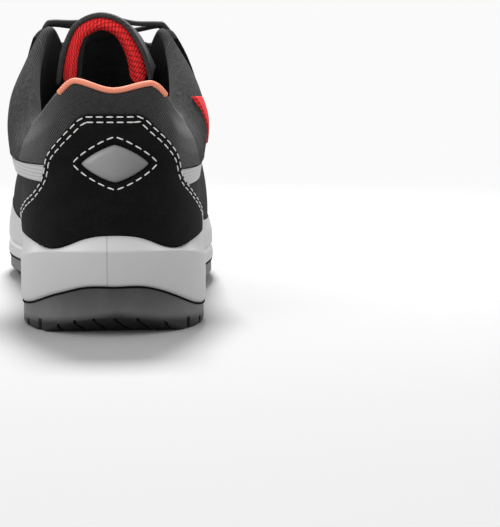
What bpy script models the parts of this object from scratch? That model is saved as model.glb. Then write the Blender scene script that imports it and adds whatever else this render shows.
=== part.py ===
"""Safety sneaker, right shoe: sole, hollow upper, tongue, overlays and lace.

Metres, +Z up. The toe points along +Y, and the inner side of the foot is at -X. The origin is the
middle of the heel's resting spot on the floor. Inside the tables, lengths are shares of the named
sizes, and a turn runs once round the shoe: 0 at the back of the heel, 0.25 at the inner waist, 0.5
at the toe and 0.75 at the outer waist.
"""

import math

import bmesh
import bpy
import numpy as np
from mathutils import Vector

# Sole and last
LENGTH = 0.300
BALL_WIDTH = 0.107
HEEL_WIDTH = 0.078
HEEL_FLOOR = 0.026
BALL_FLOOR = 0.017
TOE_SPRING = 0.013
ARCH_RISE = 0.007
HEEL_BEVEL_LENGTH = 0.0166
HEEL_BEVEL_RISE = 0.0076
REST_CENTRE = 0.047
SOLE_EDGE = 0.0045
RIM_HEIGHT = 0.0385
WELD_HEIGHT = 0.0204
OUTSOLE_INSET = 0.0010
OUTSOLE_BEVEL = 0.0045
TREAD_DEPTH = 0.0035
TREAD_GROOVE = 0.0034
TREAD_PITCH = 0.0125
TREAD_ARCH = (0.36, 0.50)
TREAD_END = 0.95
INSOLE = 0.0035
INSOLE_SLACK = 0.0008

# Upper
TAB_HEIGHT = 0.0958
INSTEP_HEIGHT = 0.126
COLLAR_WIDTH = 0.070
WALL = 0.002
COLLAR_PAD = 0.0085
OVERLAY = 0.0013
COUNTER_HEIGHT = 0.0906
TOE_CAP_REACH = 0.60
EYESTAY_WIDTH = 0.017
PIPING_RADIUS = 0.0011
LENS_WIDTH = 0.0265
LENS_HEIGHT = 0.0152
LENS_CENTRE = 0.0702
LENS_THICKNESS = 0.0019
LENS_POINT = 1.55
STRIP_HEIGHT = 0.0072
STRIP_CENTRE = 0.0655
STRIP_LOWER = 0.0022
STRIP_THICKNESS = 0.0008
STRIP_TAPER = 0.55
STRIP_SWEEP = 0.90
TAG_HEIGHT = 0.021
TAG_WIDTH = 0.011
TAG_CENTRE = 0.085

# Tongue and lace
TONGUE_THICKNESS = 0.0040
TONGUE_SLACK = 0.0014
TONGUE_EDGE = 0.0023
TONGUE_TOP = 0.134
TONGUE_DROP = 0.033
TONGUE_WIDTH = 0.0457
TONGUE_BACK = 0.350
TONGUE_LEAN = 0.12
LINING_PAD = 0.0078
LACE_RADIUS = 0.00125
LACE_BEND = 0.0026
EYELET_RADIUS = 0.0033
EYELET_TUBE = 0.0006
EYELET_PAIRS = 5
EYELET_INSET = 0.0080

# Clearance between pieces that touch on the real shoe
GAP = 0.0003
SEAT = 0.0006

HALF_BALL = BALL_WIDTH / 2
HALF_HEEL = HEEL_WIDTH / 2
HALF_COLLAR = COLLAR_WIDTH / 2

# The sole's outline seen from above: how far along, and across in half heel and half ball widths
PLAN_COLUMNS = ("turn", "along", "heel", "ball")
PLAN_ROWS = (
    (0.000, 0.000, -0.015, 0.000),
    (0.040, 0.033, -0.635, 0.000),
    (0.083, 0.120, -1.020, 0.000),
    (0.130, 0.227, -1.000, 0.000),
    (0.180, 0.340, -0.620, -0.190),
    (0.230, 0.457, -0.300, -0.500),
    (0.288, 0.577, 0.000, -0.916),
    (0.340, 0.690, 0.000, -1.060),
    (0.400, 0.822, 0.000, -0.990),
    (0.455, 0.936, 0.000, -0.745),
    (0.500, 1.000, 0.000, -0.150),
    (0.545, 0.955, 0.000, 0.440),
    (0.600, 0.850, 0.000, 0.785),
    (0.660, 0.710, 0.000, 0.925),
    (0.712, 0.583, 0.000, 0.935),
    (0.770, 0.457, 0.300, 0.594),
    (0.820, 0.340, 0.620, 0.286),
    (0.870, 0.227, 0.975, 0.000),
    (0.917, 0.120, 0.970, 0.000),
    (0.960, 0.033, 0.585, 0.000),
)

# The collar and throat edge: across in half collar widths, up in heel tab and instep heights
CREST_COLUMNS = ("turn", "along", "across", "tab", "instep")
CREST_ROWS = (
    (0.000, 0.043, -0.030, 1.000, 0.000),
    (0.040, 0.052, -0.465, 1.038, 0.000),
    (0.075, 0.100, -0.745, 0.940, 0.000),
    (0.105, 0.167, -0.930, 0.862, 0.000),
    (0.130, 0.220, -1.015, 0.872, 0.000),
    (0.160, 0.273, -1.070, 0.500, 0.377),
    (0.190, 0.323, -1.057, 0.200, 0.710),
    (0.215, 0.367, -0.957, 0.000, 0.956),
    (0.235, 0.397, -0.857, 0.000, 1.000),
    (0.255, 0.430, -0.771, 0.000, 0.972),
    (0.290, 0.487, -0.657, 0.000, 0.885),
    (0.340, 0.557, -0.514, 0.000, 0.762),
    (0.400, 0.617, -0.386, 0.000, 0.663),
    (0.455, 0.650, -0.257, 0.000, 0.615),
    (0.500, 0.662, -0.114, 0.000, 0.600),
    (0.545, 0.650, 0.029, 0.000, 0.615),
    (0.600, 0.617, 0.157, 0.000, 0.663),
    (0.660, 0.557, 0.300, 0.000, 0.762),
    (0.710, 0.487, 0.457, 0.000, 0.885),
    (0.745, 0.430, 0.571, 0.000, 0.968),
    (0.765, 0.397, 0.657, 0.000, 0.994),
    (0.785, 0.367, 0.743, 0.000, 0.948),
    (0.810, 0.323, 0.814, 0.200, 0.706),
    (0.840, 0.273, 0.829, 0.500, 0.385),
    (0.870, 0.220, 0.800, 0.903, 0.000),
    (0.895, 0.167, 0.757, 0.892, 0.000),
    (0.925, 0.100, 0.625, 0.945, 0.000),
    (0.960, 0.052, 0.429, 1.027, 0.000),
)

# How the wall leaves the sole and meets the edge above it. rise and drop are shares of the edge's
# height over the foot, lean and out of half the ball width, reach of the way from edge to foot,
# and pad of the collar's padding
FORM_COLUMNS = ("turn", "rise", "lean", "reach", "out", "drop", "pad")
FORM_ROWS = (
    (0.000, 0.360, 0.100, 0.00, -0.030, 0.33, 0.90),
    (0.083, 0.380, 0.080, 0.00, 0.080, 0.30, 0.95),
    (0.130, 0.380, 0.110, 0.00, 0.190, 0.16, 1.00),
    (0.180, 0.380, 0.240, 0.00, 0.200, 0.17, 1.00),
    (0.235, 0.330, 0.230, 0.25, 0.160, 0.24, 0.30),
    (0.288, 0.400, 0.215, 0.42, 0.120, 0.27, 0.00),
    (0.340, 0.470, 0.135, 0.50, 0.080, 0.24, 0.00),
    (0.400, 0.520, 0.030, 0.55, 0.040, 0.18, 0.00),
    (0.455, 0.700, 0.060, 0.58, 0.020, 0.16, 0.00),
    (0.500, 0.740, 0.080, 0.60, 0.000, 0.15, 0.00),
    (0.545, 0.700, 0.060, 0.58, 0.020, 0.16, 0.00),
    (0.600, 0.520, 0.030, 0.55, 0.040, 0.18, 0.00),
    (0.660, 0.470, 0.100, 0.50, 0.080, 0.24, 0.00),
    (0.712, 0.400, 0.135, 0.42, 0.125, 0.27, 0.00),
    (0.765, 0.330, 0.130, 0.25, 0.225, 0.24, 0.30),
    (0.820, 0.380, 0.110, 0.00, 0.255, 0.17, 1.00),
    (0.870, 0.380, 0.070, 0.00, 0.205, 0.16, 1.00),
    (0.917, 0.380, 0.080, 0.00, 0.080, 0.30, 0.95),
)

# The sole's side. top and lip are the edge against the upper and the lower edge of its bevel, in
# rim heights. weld is where outsole and midsole meet, in weld heights. step is how much of the
# midsole's side steps shows, and bevel the height and width of the outsole's lower bevel
SIDE_COLUMNS = ("turn", "top", "lip", "weld", "step", "bevel")
SIDE_ROWS = (
    (0.000, 1.075, 0.904, 1.000, 0.0, 0.12),
    (0.020, 1.040, 0.902, 0.985, 0.0, 0.12),
    (0.032, 0.970, 0.900, 0.890, 0.0, 0.12),
    (0.045, 0.912, 0.890, 0.770, 0.0, 0.12),
    (0.066, 0.950, 0.830, 0.560, 0.0, 0.15),
    (0.090, 1.005, 0.745, 0.470, 0.0, 0.20),
    (0.130, 0.985, 0.740, 0.480, 0.0, 0.40),
    (0.180, 0.925, 0.745, 0.610, 0.4, 0.70),
    (0.240, 0.880, 0.700, 0.560, 1.0, 1.00),
    (0.300, 0.870, 0.680, 0.530, 1.0, 1.00),
    (0.345, 1.080, 0.740, 0.560, 1.0, 1.00),
    (0.400, 1.060, 0.850, 0.760, 1.0, 0.90),
    (0.500, 1.160, 1.000, 1.100, 0.9, 0.80),
    (0.600, 1.040, 0.840, 0.750, 1.0, 0.90),
    (0.655, 0.920, 0.710, 0.560, 1.0, 1.00),
    (0.700, 0.850, 0.675, 0.530, 1.0, 1.00),
    (0.760, 0.870, 0.700, 0.550, 1.0, 1.00),
    (0.820, 0.925, 0.745, 0.580, 0.4, 0.70),
    (0.870, 0.985, 0.740, 0.460, 0.0, 0.40),
    (0.910, 1.005, 0.745, 0.410, 0.0, 0.20),
    (0.934, 0.950, 0.830, 0.500, 0.0, 0.15),
    (0.955, 0.912, 0.890, 0.740, 0.0, 0.12),
    (0.968, 0.970, 0.900, 0.890, 0.0, 0.12),
    (0.980, 1.040, 0.902, 0.985, 0.0, 0.12),
)

# The midsole's side from its bottom (0) to the bevel (1), and how far each step is set in. Its
# bottom edge is set in as far as the outsole
STEP_COLUMNS = ("up", "inset")
STEP_ROWS = (
    (0.06, 0.0000),
    (0.36, 0.0003),
    (0.42, 0.0015),
    (0.49, 0.0015),
    (0.55, 0.0003),
    (1.00, 0.0006),
)

# The heel counter's two front edges, from the sole's rim (0) up to its top (1)
COUNTER_COLUMNS = ("up", "inner", "outer")
COUNTER_ROWS = (
    (0.00, 0.106, 0.896),
    (0.16, 0.100, 0.902),
    (0.28, 0.086, 0.914),
    (0.40, 0.070, 0.926),
    (0.53, 0.061, 0.938),
    (0.67, 0.057, 0.943),
    (0.80, 0.047, 0.953),
    (0.90, 0.038, 0.963),
    (0.97, 0.031, 0.970),
    (1.00, 0.024, 0.976),
)

# The tongue in the throat, from its tucked front end up to the throat's top corners: the turn of
# the inner edge, how far up the wall its shoulder lies, the width of the wing under the eyestay and
# the crown's height over the shoulders, both in tongue widths, and how far it draws in to its middle
TONGUE_COLUMNS = ("turn", "edge", "wing", "crown", "draw")
TONGUE_ROWS = (
    (0.468, 0.86, 0.12, -0.020, 0.00),
    (0.456, 0.91, 0.16, -0.050, 0.02),
    (0.440, 0.95, 0.22, -0.060, 0.08),
    (0.420, 0.98, 0.25, -0.010, 0.13),
    (0.395, 1.00, 0.28, 0.050, 0.10),
    (0.375, 1.00, 0.30, 0.090, 0.06),
    (0.335, 1.00, 0.33, 0.110, 0.11),
    (0.295, 1.00, 0.36, 0.140, 0.18),
    (0.260, 1.00, 0.42, 0.170, 0.26),
    (0.238, 1.00, 0.46, 0.190, 0.32),
)

# The tongue's free top end seen from behind: across in half widths, and below its top in drops
TOP_COLUMNS = ("across", "below")
TOP_ROWS = (
    (-1.00, 1.00),
    (-0.94, 0.74),
    (-0.84, 0.46),
    (-0.57, 0.13),
    (-0.14, 0.00),
    (0.40, 0.10),
    (0.72, 0.38),
    (0.89, 0.62),
    (1.00, 0.95),
)
TOP_SHIFT = -0.205

# Eyestay: the width of the band below the throat's edge, in eyestay widths
EYESTAY_COLUMNS = ("turn", "width")
EYESTAY_ROWS = (
    (0.217, 1.60),
    (0.235, 2.10),
    (0.262, 1.95),
    (0.300, 1.25),
    (0.360, 1.00),
    (0.500, 1.00),
    (0.640, 1.00),
    (0.700, 1.25),
    (0.738, 1.95),
    (0.765, 2.10),
    (0.783, 1.60),
)
EYELET_TURNS = (0.418, 0.246)
PIPING_TURN = 0.050
STRIP_CLEAR = 0.0045
STRIP_ENDS = (0.205, 0.800)
TAG_TURN = 0.834
CAP_TURN = 0.385
CORD_SIDES = 5

# Rows of points up the wall: up to the sole's rim, and from there up to the wall's edge
RIM_STEPS = (0.0, 0.5, 1.0)
WALL_STEPS = (0.14, 0.27, 0.37, 0.46, 0.55, 0.66, 0.82, 1.0)

# Where the steps between the half round's turns change, and how many steps each stretch has
TURN_STRETCHES = ((0.0, 0.07, 8), (0.07, 0.20, 9), (0.20, 0.27, 6), (0.27, 0.43, 9), (0.43, 0.5, 6))


class Loop:
    """A smooth closed curve round the shoe through a table's rows, read by column at any turn."""

    def __init__(self, columns, rows):
        table = np.array(rows)
        self.columns = columns[1:]
        self.turns = np.append(table[:, 0], table[0, 0] + 1)
        self.values = np.vstack([table[:, 1:], table[:1, 1:]])
        steps = np.diff(self.turns)
        slopes = np.diff(self.values, axis=0) / steps[:, None]
        count = len(steps)
        matrix = np.zeros((count, count))
        for i in range(count):
            matrix[i, i - 1] += steps[i - 1]
            matrix[i, i] += 2 * (steps[i - 1] + steps[i])
            matrix[i, (i + 1) % count] += steps[i]
        bends = np.linalg.solve(matrix, 6 * (slopes - np.roll(slopes, 1, axis=0)))
        self.bends = np.vstack([bends, bends[:1]])

    def at(self, turn):
        """Every column at the given turns, as a dictionary of arrays."""
        turn = np.mod(np.asarray(turn, float), 1.0)
        i = np.clip(np.searchsorted(self.turns, turn, side="right") - 1, 0, len(self.turns) - 2)
        step = (self.turns[i + 1] - self.turns[i])[..., None]
        far = (turn - self.turns[i])[..., None]
        near = step - far
        straight = (self.values[i] * near + self.values[i + 1] * far) / step
        bent = self.bends[i] * (near**3 / step - near * step) / 6
        bent += self.bends[i + 1] * (far**3 / step - far * step) / 6
        read = straight + bent
        return {name: read[..., k] for k, name in enumerate(self.columns)}


PLAN = Loop(PLAN_COLUMNS, PLAN_ROWS)
CREST = Loop(CREST_COLUMNS, CREST_ROWS)
FORM = Loop(FORM_COLUMNS, FORM_ROWS)
SIDE = Loop(SIDE_COLUMNS, SIDE_ROWS)


def ease(value, start, end):
    """0 up to start, 1 from end on, and smooth between them."""
    share = np.clip((value - start) / (end - start), 0.0, 1.0)
    return share * share * (3 - 2 * share)


def unit(vectors):
    return vectors / np.maximum(np.linalg.norm(vectors, axis=-1, keepdims=True), 1e-12)


def stack(x, y, z):
    return np.stack(np.broadcast_arrays(x, y, z), axis=-1)


def spring(y):
    """How far the toe spring lifts the sole."""
    return TOE_SPRING * np.clip((y / LENGTH - 0.70) / 0.30, 0.0, 1.0) ** 1.8


def floor_height(y):
    """The top of the midsole, on which the upper and the insole stand."""
    heel = 1 - ease(y / LENGTH, 0.28, 0.62)
    return BALL_FLOOR + (HEEL_FLOOR - BALL_FLOOR) * heel + spring(y)


def ground_height(y):
    """The outsole's underside before its grooves: heel bevel, heel, arch, ball and toe spring."""
    bevel = HEEL_BEVEL_RISE * np.clip(1 - y / HEEL_BEVEL_LENGTH, 0.0, 1.0)
    arch = ARCH_RISE * ease(y / LENGTH, 0.27, 0.37) * (1 - ease(y / LENGTH, 0.40, 0.52))
    return bevel + arch + spring(y)


def outline(turn, inset=0.0):
    """The sole's outline seen from above, set in by a distance. Returns x and y."""
    def plain(t):
        row = PLAN.at(t)
        return row["heel"] * HALF_HEEL + row["ball"] * HALF_BALL, row["along"] * LENGTH

    x, y = plain(turn)
    ahead, behind = plain(np.asarray(turn) + 1e-3), plain(np.asarray(turn) - 1e-3)
    dx, dy = ahead[0] - behind[0], ahead[1] - behind[1]
    size = np.hypot(dx, dy)
    return x + dy / size * inset, y - dx / size * inset


def outward(turn):
    """The level direction out of the sole's edge."""
    inner, edge = outline(turn, 0.001), outline(turn)
    return unit(stack(edge[0] - inner[0], edge[1] - inner[1], 0.0))


def crest(turn):
    """The middle of the wall along the collar and the throat."""
    row = CREST.at(turn)
    z = row["tab"] * TAB_HEIGHT + row["instep"] * INSTEP_HEIGHT
    return stack(row["across"] * HALF_COLLAR, row["along"] * LENGTH, z)


def middle(turn, share):
    """The middle of the upper's wall, from its foot on the sole (share 0) to its edge (share 1)."""
    turn, share = np.broadcast_arrays(np.asarray(turn, float), np.asarray(share, float))
    form = FORM.at(turn)
    x, y = outline(turn, SOLE_EDGE + WALL / 2)
    foot = stack(x, y, floor_height(y) + GAP)
    top = crest(turn)
    out = outward(turn)
    up = np.array([0.0, 0.0, 1.0])
    height = (top - foot)[..., 2]
    level = (foot - top) * np.array([1.0, 1.0, 0.0])
    low = foot + up * (form["rise"] * height)[..., None] + out * (form["lean"] * HALF_BALL)[..., None]
    high = top - up * (form["drop"] * height)[..., None] + level * form["reach"][..., None]
    high = high + out * (form["out"] * HALF_BALL)[..., None]
    s = share[..., None]
    r = 1 - s
    return foot * r**3 + low * (3 * s * r**2) + high * (3 * s**2 * r) + top * s**3


def upward(turn, share):
    """The direction up the wall."""
    share = np.asarray(share, float)
    return unit(middle(turn, np.minimum(share + 1e-3, 1)) - middle(turn, np.maximum(share - 1e-3, 0)))


def normal(turn, share):
    """The direction out of the wall."""
    turn = np.asarray(turn, float)
    along = middle(turn + 1e-3, share) - middle(turn - 1e-3, share)
    return unit(np.cross(upward(turn, share), along))


def thickness(turn, share):
    """The wall's thickness: plain low down and on the vamp, padded along the collar."""
    pad = np.clip(FORM.at(turn)["pad"], 0.0, None) * (COLLAR_PAD - WALL)
    return WALL + pad * ease(share, 0.45, 0.72)


def face(turn, share, off=0.0):
    """The upper's outer face, or a face a distance outside it."""
    half = thickness(turn, share)[..., None] / 2
    return middle(turn, share) + normal(turn, share) * (half + off)


def lining(turn, share, off=0.0):
    """The upper's inner face, or a face a distance inside it."""
    half = thickness(turn, share)[..., None] / 2
    return middle(turn, share) - normal(turn, share) * (half + off)


def lip(turn, angle, off=0.0):
    """The rounded edge of the wall, from its outer face (angle 0) to its inner face (angle pi)."""
    share = np.ones_like(np.asarray(turn, float))
    angle = (share * angle)[..., None]
    radius = thickness(turn, share)[..., None] / 2 + off
    way = normal(turn, share) * np.cos(angle) + upward(turn, share) * np.sin(angle)
    return middle(turn, share) + way * radius


def share_at(turn, z):
    """How far up the wall its outer face reaches the height z, one turn at a time."""
    shares = np.linspace(0.0, 1.0, 81)
    found = []
    for one, height in zip(*np.broadcast_arrays(np.atleast_1d(turn), z)):
        heights = np.maximum.accumulate(face(np.full_like(shares, one), shares)[:, 2])
        found.append(np.interp(height, heights + np.arange(81) * 1e-9, shares))
    return np.array(found)


def half_turns():
    """Turns up one half of the shoe, closer together where it bends, with none at 0 or 0.5."""
    edges = []
    for start, end, count in TURN_STRETCHES:
        edges += [start + (end - start) * k / count for k in range(count)]
    edges.append(0.5)
    return [(a + b) / 2 for a, b in zip(edges, edges[1:])]


HALF = half_turns()
ROUND = np.array(HALF + [1 - turn for turn in reversed(HALF)])


def material(name, colour, roughness, metallic=0.0):
    """A plain Principled material. The colour is linear RGB."""
    made = bpy.data.materials.new(name)
    made.use_nodes = True
    shader = made.node_tree.nodes["Principled BSDF"]
    shader.inputs["Base Color"].default_value = (*colour, 1.0)
    shader.inputs["Roughness"].default_value = roughness
    shader.inputs["Metallic"].default_value = metallic
    made.diffuse_color = (*colour, 1.0)
    return made


def place(name, bm, finish, smooth=math.radians(35)):
    """Turn a closed bmesh into one named object, measured from the back of the heel."""
    bmesh.ops.recalc_face_normals(bm, faces=bm.faces)
    mesh = bpy.data.meshes.new(name)
    bm.to_mesh(mesh)
    bm.free()
    mesh.materials.append(finish)
    mesh.shade_smooth()
    mesh.set_sharp_from_angle(angle=smooth)
    made = bpy.data.objects.new(name, mesh)
    made.location = (0.0, -REST_CENTRE, 0.0)
    bpy.context.collection.objects.link(made)
    return made


def ladder(bm, loop):
    """Close a loop of points with a zigzag between its first half and its second."""
    low, high = 0, len(loop) - 1
    while high - low > 1:
        bm.faces.new((loop[low], loop[low + 1], loop[high]))
        low += 1
        if high - low > 1:
            bm.faces.new((loop[low], loop[high - 1], loop[high]))
            high -= 1


def skin(loops, hollow=False):
    """Join closed loops of points in turn. A hollow skin meets its first loop again."""
    bm = bmesh.new()
    rows = [[bm.verts.new(Vector(point)) for point in loop] for loop in loops]
    pairs = list(zip(rows, rows[1:]))
    if hollow:
        pairs.append((rows[-1], rows[0]))
    for low, high in pairs:
        for k in range(len(low)):
            n = (k + 1) % len(low)
            bm.faces.new((low[k], low[n], high[n], high[k]))
    if not hollow:
        ladder(bm, rows[0])
        ladder(bm, rows[-1])
    return bm


def slab(turns, shares, off, thick):
    """A sheet over the upper's outer face. Both arrays hold a row of points for each step up it."""
    loops = []
    for turn, share in zip(turns, shares):
        under = face(turn, share, off)
        over = face(turn, share, off + thick)
        loops.append(np.vstack([over, under[::-1]]))
    return skin(loops)


def rim_share(turn, above=0.0):
    """How far up the wall the sole's rim reaches."""
    return share_at(turn, SIDE.at(turn)["top"] * RIM_HEIGHT + above)


def weld_height(turn):
    """Where the outsole and the midsole meet."""
    return SIDE.at(turn)["weld"] * WELD_HEIGHT


def upper(finish):
    """The hollow wall: outer face up, over the rounded edge, and down the lining."""
    rim = rim_share(ROUND)
    shares = [rim * part for part in RIM_STEPS]
    shares += [rim + (1 - rim) * part for part in WALL_STEPS]
    loops = [face(ROUND, share) for share in shares]
    loops += [lip(ROUND, math.pi * k / 3) for k in (1, 2)]
    loops += [lining(ROUND, share) for share in reversed(shares)]
    for foot in (loops[0], loops[-1]):
        foot[:, 2] = floor_height(foot[:, 1]) + GAP
    return place("upper", skin(loops, hollow=True), finish)


def midsole(finish):
    """A cup: stepped side, bevelled rim against the upper, and the floor under the foot."""
    side = SIDE.at(ROUND)
    low = weld_height(ROUND) + GAP / 2
    high = side["lip"] * RIM_HEIGHT
    x, y = outline(ROUND, OUTSOLE_INSET)
    loops = [stack(x, y, low)]
    for up, inset in STEP_ROWS:
        x, y = outline(ROUND, inset * np.clip(side["step"], 0.0, 1.0))
        loops.append(stack(x, y, low + (high - low) * up))
    top = rim_share(ROUND)
    for part in reversed(RIM_STEPS):
        loops.append(face(ROUND, top * part, GAP))
    floor = loops[-1].copy()
    floor[:, 2] = floor_height(floor[:, 1])
    loops[-1] = floor
    return place("midsole", skin(loops), finish, math.radians(25))


def tread_cutter():
    """Chevron channels across the heel and the forefoot, as one mesh."""
    bm = bmesh.new()
    reach = BALL_WIDTH * 0.7

    def channel(points, width, depth):
        sides = []
        for index, point in enumerate(points):
            before = points[max(index - 1, 0)]
            after = points[min(index + 1, len(points) - 1)]
            way = Vector((after[0] - before[0], after[1] - before[1]))
            way.normalize()
            sides.append((point, Vector((-way.y, way.x)) * width / 2))
        rings = []
        for point, side in sides:
            roof = float(ground_height(point[1])) + depth
            ring = []
            for sign, z in ((-1, -0.02), (1, -0.02), (1, roof), (-1, roof)):
                ring.append(bm.verts.new((point[0] + side.x * sign, point[1] + side.y * sign, z)))
            rings.append(ring)
        for low, high in zip(rings, rings[1:]):
            for k in range(4):
                n = (k + 1) % 4
                bm.faces.new((low[k], low[n], high[n], high[k]))
        bm.faces.new(rings[0][::-1])
        bm.faces.new(rings[-1])

    slant = BALL_WIDTH * 0.09
    heel_count = int((REST_CENTRE - HEEL_BEVEL_LENGTH) / TREAD_PITCH)
    for k in range(heel_count + int((LENGTH * TREAD_END - REST_CENTRE) / TREAD_PITCH)):
        y = REST_CENTRE + TREAD_PITCH * (k + 0.5 - heel_count)
        if TREAD_ARCH[0] * LENGTH < y < TREAD_ARCH[1] * LENGTH:
            continue
        ends = y - 2 * slant
        channel([(-reach, ends), (0.0, y), (reach, ends)], TREAD_GROOVE, TREAD_DEPTH)
    bmesh.ops.recalc_face_normals(bm, faces=bm.faces)
    mesh = bpy.data.meshes.new("tread_cutter")
    bm.to_mesh(mesh)
    bm.free()
    made = bpy.data.objects.new("tread_cutter", mesh)
    made.location = (0.0, -REST_CENTRE, 0.0)
    made.hide_render = True
    made.display_type = "WIRE"
    bpy.context.collection.objects.link(made)
    return made


def outsole(finish):
    """The rubber sole: a thin wall up to the weld line, heel bevel, arch, toe spring and lugs."""
    weld = weld_height(ROUND) - GAP / 2
    bevel = SIDE.at(ROUND)["bevel"] * OUTSOLE_BEVEL
    x, y = outline(ROUND, OUTSOLE_INSET)
    loops = [stack(x, y, weld), stack(x, y, ground_height(y) + bevel)]
    x, y = outline(ROUND, OUTSOLE_INSET + bevel)
    loops.append(stack(x, y, ground_height(y)))
    made = place("outsole", skin(loops), finish, math.radians(25))
    cut = made.modifiers.new("Lugs", "BOOLEAN")
    cut.operation = "DIFFERENCE"
    cut.object = tread_cutter()
    return made


def insole(finish):
    """A thin plate on the midsole's floor, inside the upper."""
    x, y = outline(ROUND, SOLE_EDGE + WALL + INSOLE_SLACK)
    loops = [stack(x, y, floor_height(y) + rise) for rise in (GAP, GAP + INSOLE)]
    return place("insole", skin(loops), finish)


def counter_grid():
    """Turns and wall shares of the heel counter, row by row from the sole's rim up."""
    turns, shares = [], []
    for up, inner, outer in COUNTER_ROWS:
        turn = np.linspace(inner, outer - 1, 17)
        low = SIDE.at(turn)["top"] * RIM_HEIGHT + 2 * SEAT
        turns.append(turn)
        shares.append(share_at(turn, low + (COUNTER_HEIGHT - low) * up))
    return turns, shares


def behind(x, z):
    """The turn and wall share at which the heel's outer face passes x and z."""
    turn = np.zeros_like(x)
    for _ in range(8):
        share = share_at(turn, z)
        here = face(turn, share)[:, 0]
        slope = (face(turn + 1e-3, share)[:, 0] - here) / 1e-3
        turn = turn + (x - here) / slope
    return turn, share_at(turn, z)


def diamond(grow, count=22):
    """The lens's outline, a diamond with round tips, grown by a distance. Returns x and z."""
    angle = (np.arange(count) + 0.5) / count * 2 * math.pi
    across, up = np.cos(angle), np.sin(angle)
    x = (LENS_WIDTH / 2 + grow) * np.sign(across) * np.abs(across) ** LENS_POINT
    z = (LENS_HEIGHT / 2 + grow) * np.sign(up) * np.abs(up) ** LENS_POINT
    return x, z + LENS_CENTRE


def heel_counter(finish):
    """The suede counter, with the lens's diamond cut out of it."""
    turns, shares = counter_grid()
    made = place("heel_counter", slab(turns, shares, SEAT, OVERLAY), finish)
    x, z = diamond(LENS_THICKNESS)
    loops = [stack(x, reach, z) for reach in (HEEL_BEVEL_LENGTH * 1.5, -HEEL_BEVEL_LENGTH)]
    cutter = place("lens_cutter", skin(loops), finish)
    cutter.hide_render = True
    cutter.display_type = "WIRE"
    cut = made.modifiers.new("Lens", "BOOLEAN")
    cut.operation = "DIFFERENCE"
    cut.object = cutter
    return made


def heel_lens(finish):
    """A low dome over the counter's diamond, seated on the upper."""
    loops = []
    for size, rise in ((0.0, 0.0), (0.0, 0.62), (-0.09, 0.90), (-0.22, 1.0)):
        turn, share = behind(*diamond(size * LENS_HEIGHT))
        loops.append(face(turn, share, SEAT + LENS_THICKNESS * rise))
    return place("heel_lens", skin(loops), finish)


def tube(name, points, radius, side, finish, closed=False):
    """A round cord through the points. side is a direction that the cord never runs along."""
    before, after = np.roll(points, 1, axis=0), np.roll(points, -1, axis=0)
    if not closed:
        before[0], after[-1] = points[0], points[-1]
    way = unit(after - before)
    across = unit(np.cross(way, side))
    up = np.cross(across, way)
    loops = []
    for k in range(len(points)):
        angle = 2 * math.pi * np.arange(CORD_SIDES)[:, None] / CORD_SIDES
        loops.append(points[k] + (across[k] * np.cos(angle) + up[k] * np.sin(angle)) * radius)
    return place(name, skin(loops, hollow=closed), finish, math.radians(80))


def collar_piping(finish):
    """The piping along the heel tab's rim."""
    turns = np.linspace(PIPING_TURN, -PIPING_TURN, 24)
    angle = 1.05 - 0.85 * ease(np.abs(turns) / PIPING_TURN, 0.70, 1.05)
    points = lip(turns, angle, GAP + PIPING_RADIUS)
    return tube("collar_piping", points, PIPING_RADIUS, (0.0, 0.35, 1.0), finish)


def counter_edge(z, inner):
    """The turn of the heel counter's front edge at the height z, on the inner or the outer side."""
    table = np.array(COUNTER_ROWS)
    column = COUNTER_COLUMNS.index("inner" if inner else "outer")
    low = SIDE.at(table[5, column])["top"] * RIM_HEIGHT
    return np.interp((z - low) / (COUNTER_HEIGHT - low), table[:, 0], table[:, column])


def side_strip(name, end, lower, finish):
    """A reflective strip along the quarter, blunt at the counter's edge and tapering up forward."""
    inner = end < 0.5
    edge = STRIP_CENTRE - lower + np.array([1.0, -1.0]) * STRIP_HEIGHT / 2
    start = counter_edge(edge, inner) + (STRIP_CLEAR if inner else -STRIP_CLEAR)
    turns, shares = [], []
    for part in np.linspace(0.0, 1.0, 9):
        half = STRIP_HEIGHT / 2 * (1 - STRIP_TAPER * part)
        z = STRIP_CENTRE - lower + STRIP_HEIGHT * STRIP_SWEEP * part**2 + np.array([half, -half])
        turns.append(start + (end - start) * part)
        shares.append(share_at(turns[-1], z))
    return place(name, slab(turns, shares, SEAT, STRIP_THICKNESS), finish)


def side_tag(finish):
    """A folded tag sewn to the outer quarter."""
    pair = np.array([TAG_TURN, TAG_TURN - 0.01])
    feet = face(pair, share_at(pair, TAG_CENTRE))
    step = TAG_WIDTH / np.linalg.norm(feet[1] - feet[0]) * 0.01
    turns = [np.full(5, TAG_TURN + step * part) for part in (-0.5, 0.0, 0.5)]
    heights = TAG_CENTRE + TAG_HEIGHT * np.linspace(0.5, -0.5, 5)
    return place("side_tag", slab(turns, [share_at(turn, heights) for turn in turns], SEAT, OVERLAY), finish)


def rib_length(turn):
    """The length of the wall from foot to edge."""
    points = middle(np.full(24, turn), np.linspace(0, 1, 24))
    return np.linalg.norm(np.diff(points, axis=0), axis=1).sum()


def eyestay(finish):
    """The band round the throat that holds the eyelets."""
    table = np.array(EYESTAY_ROWS)
    turns, shares = [], []
    for turn in np.linspace(table[0, 0], table[-1, 0], 45):
        width = np.interp(turn, table[:, 0], table[:, 1]) * EYESTAY_WIDTH
        turns.append(np.full(4, turn))
        shares.append(np.linspace(1.0, 1 - width / rib_length(turn), 4))
    return place("eyestay", slab(turns, shares, SEAT, OVERLAY), finish)


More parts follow.
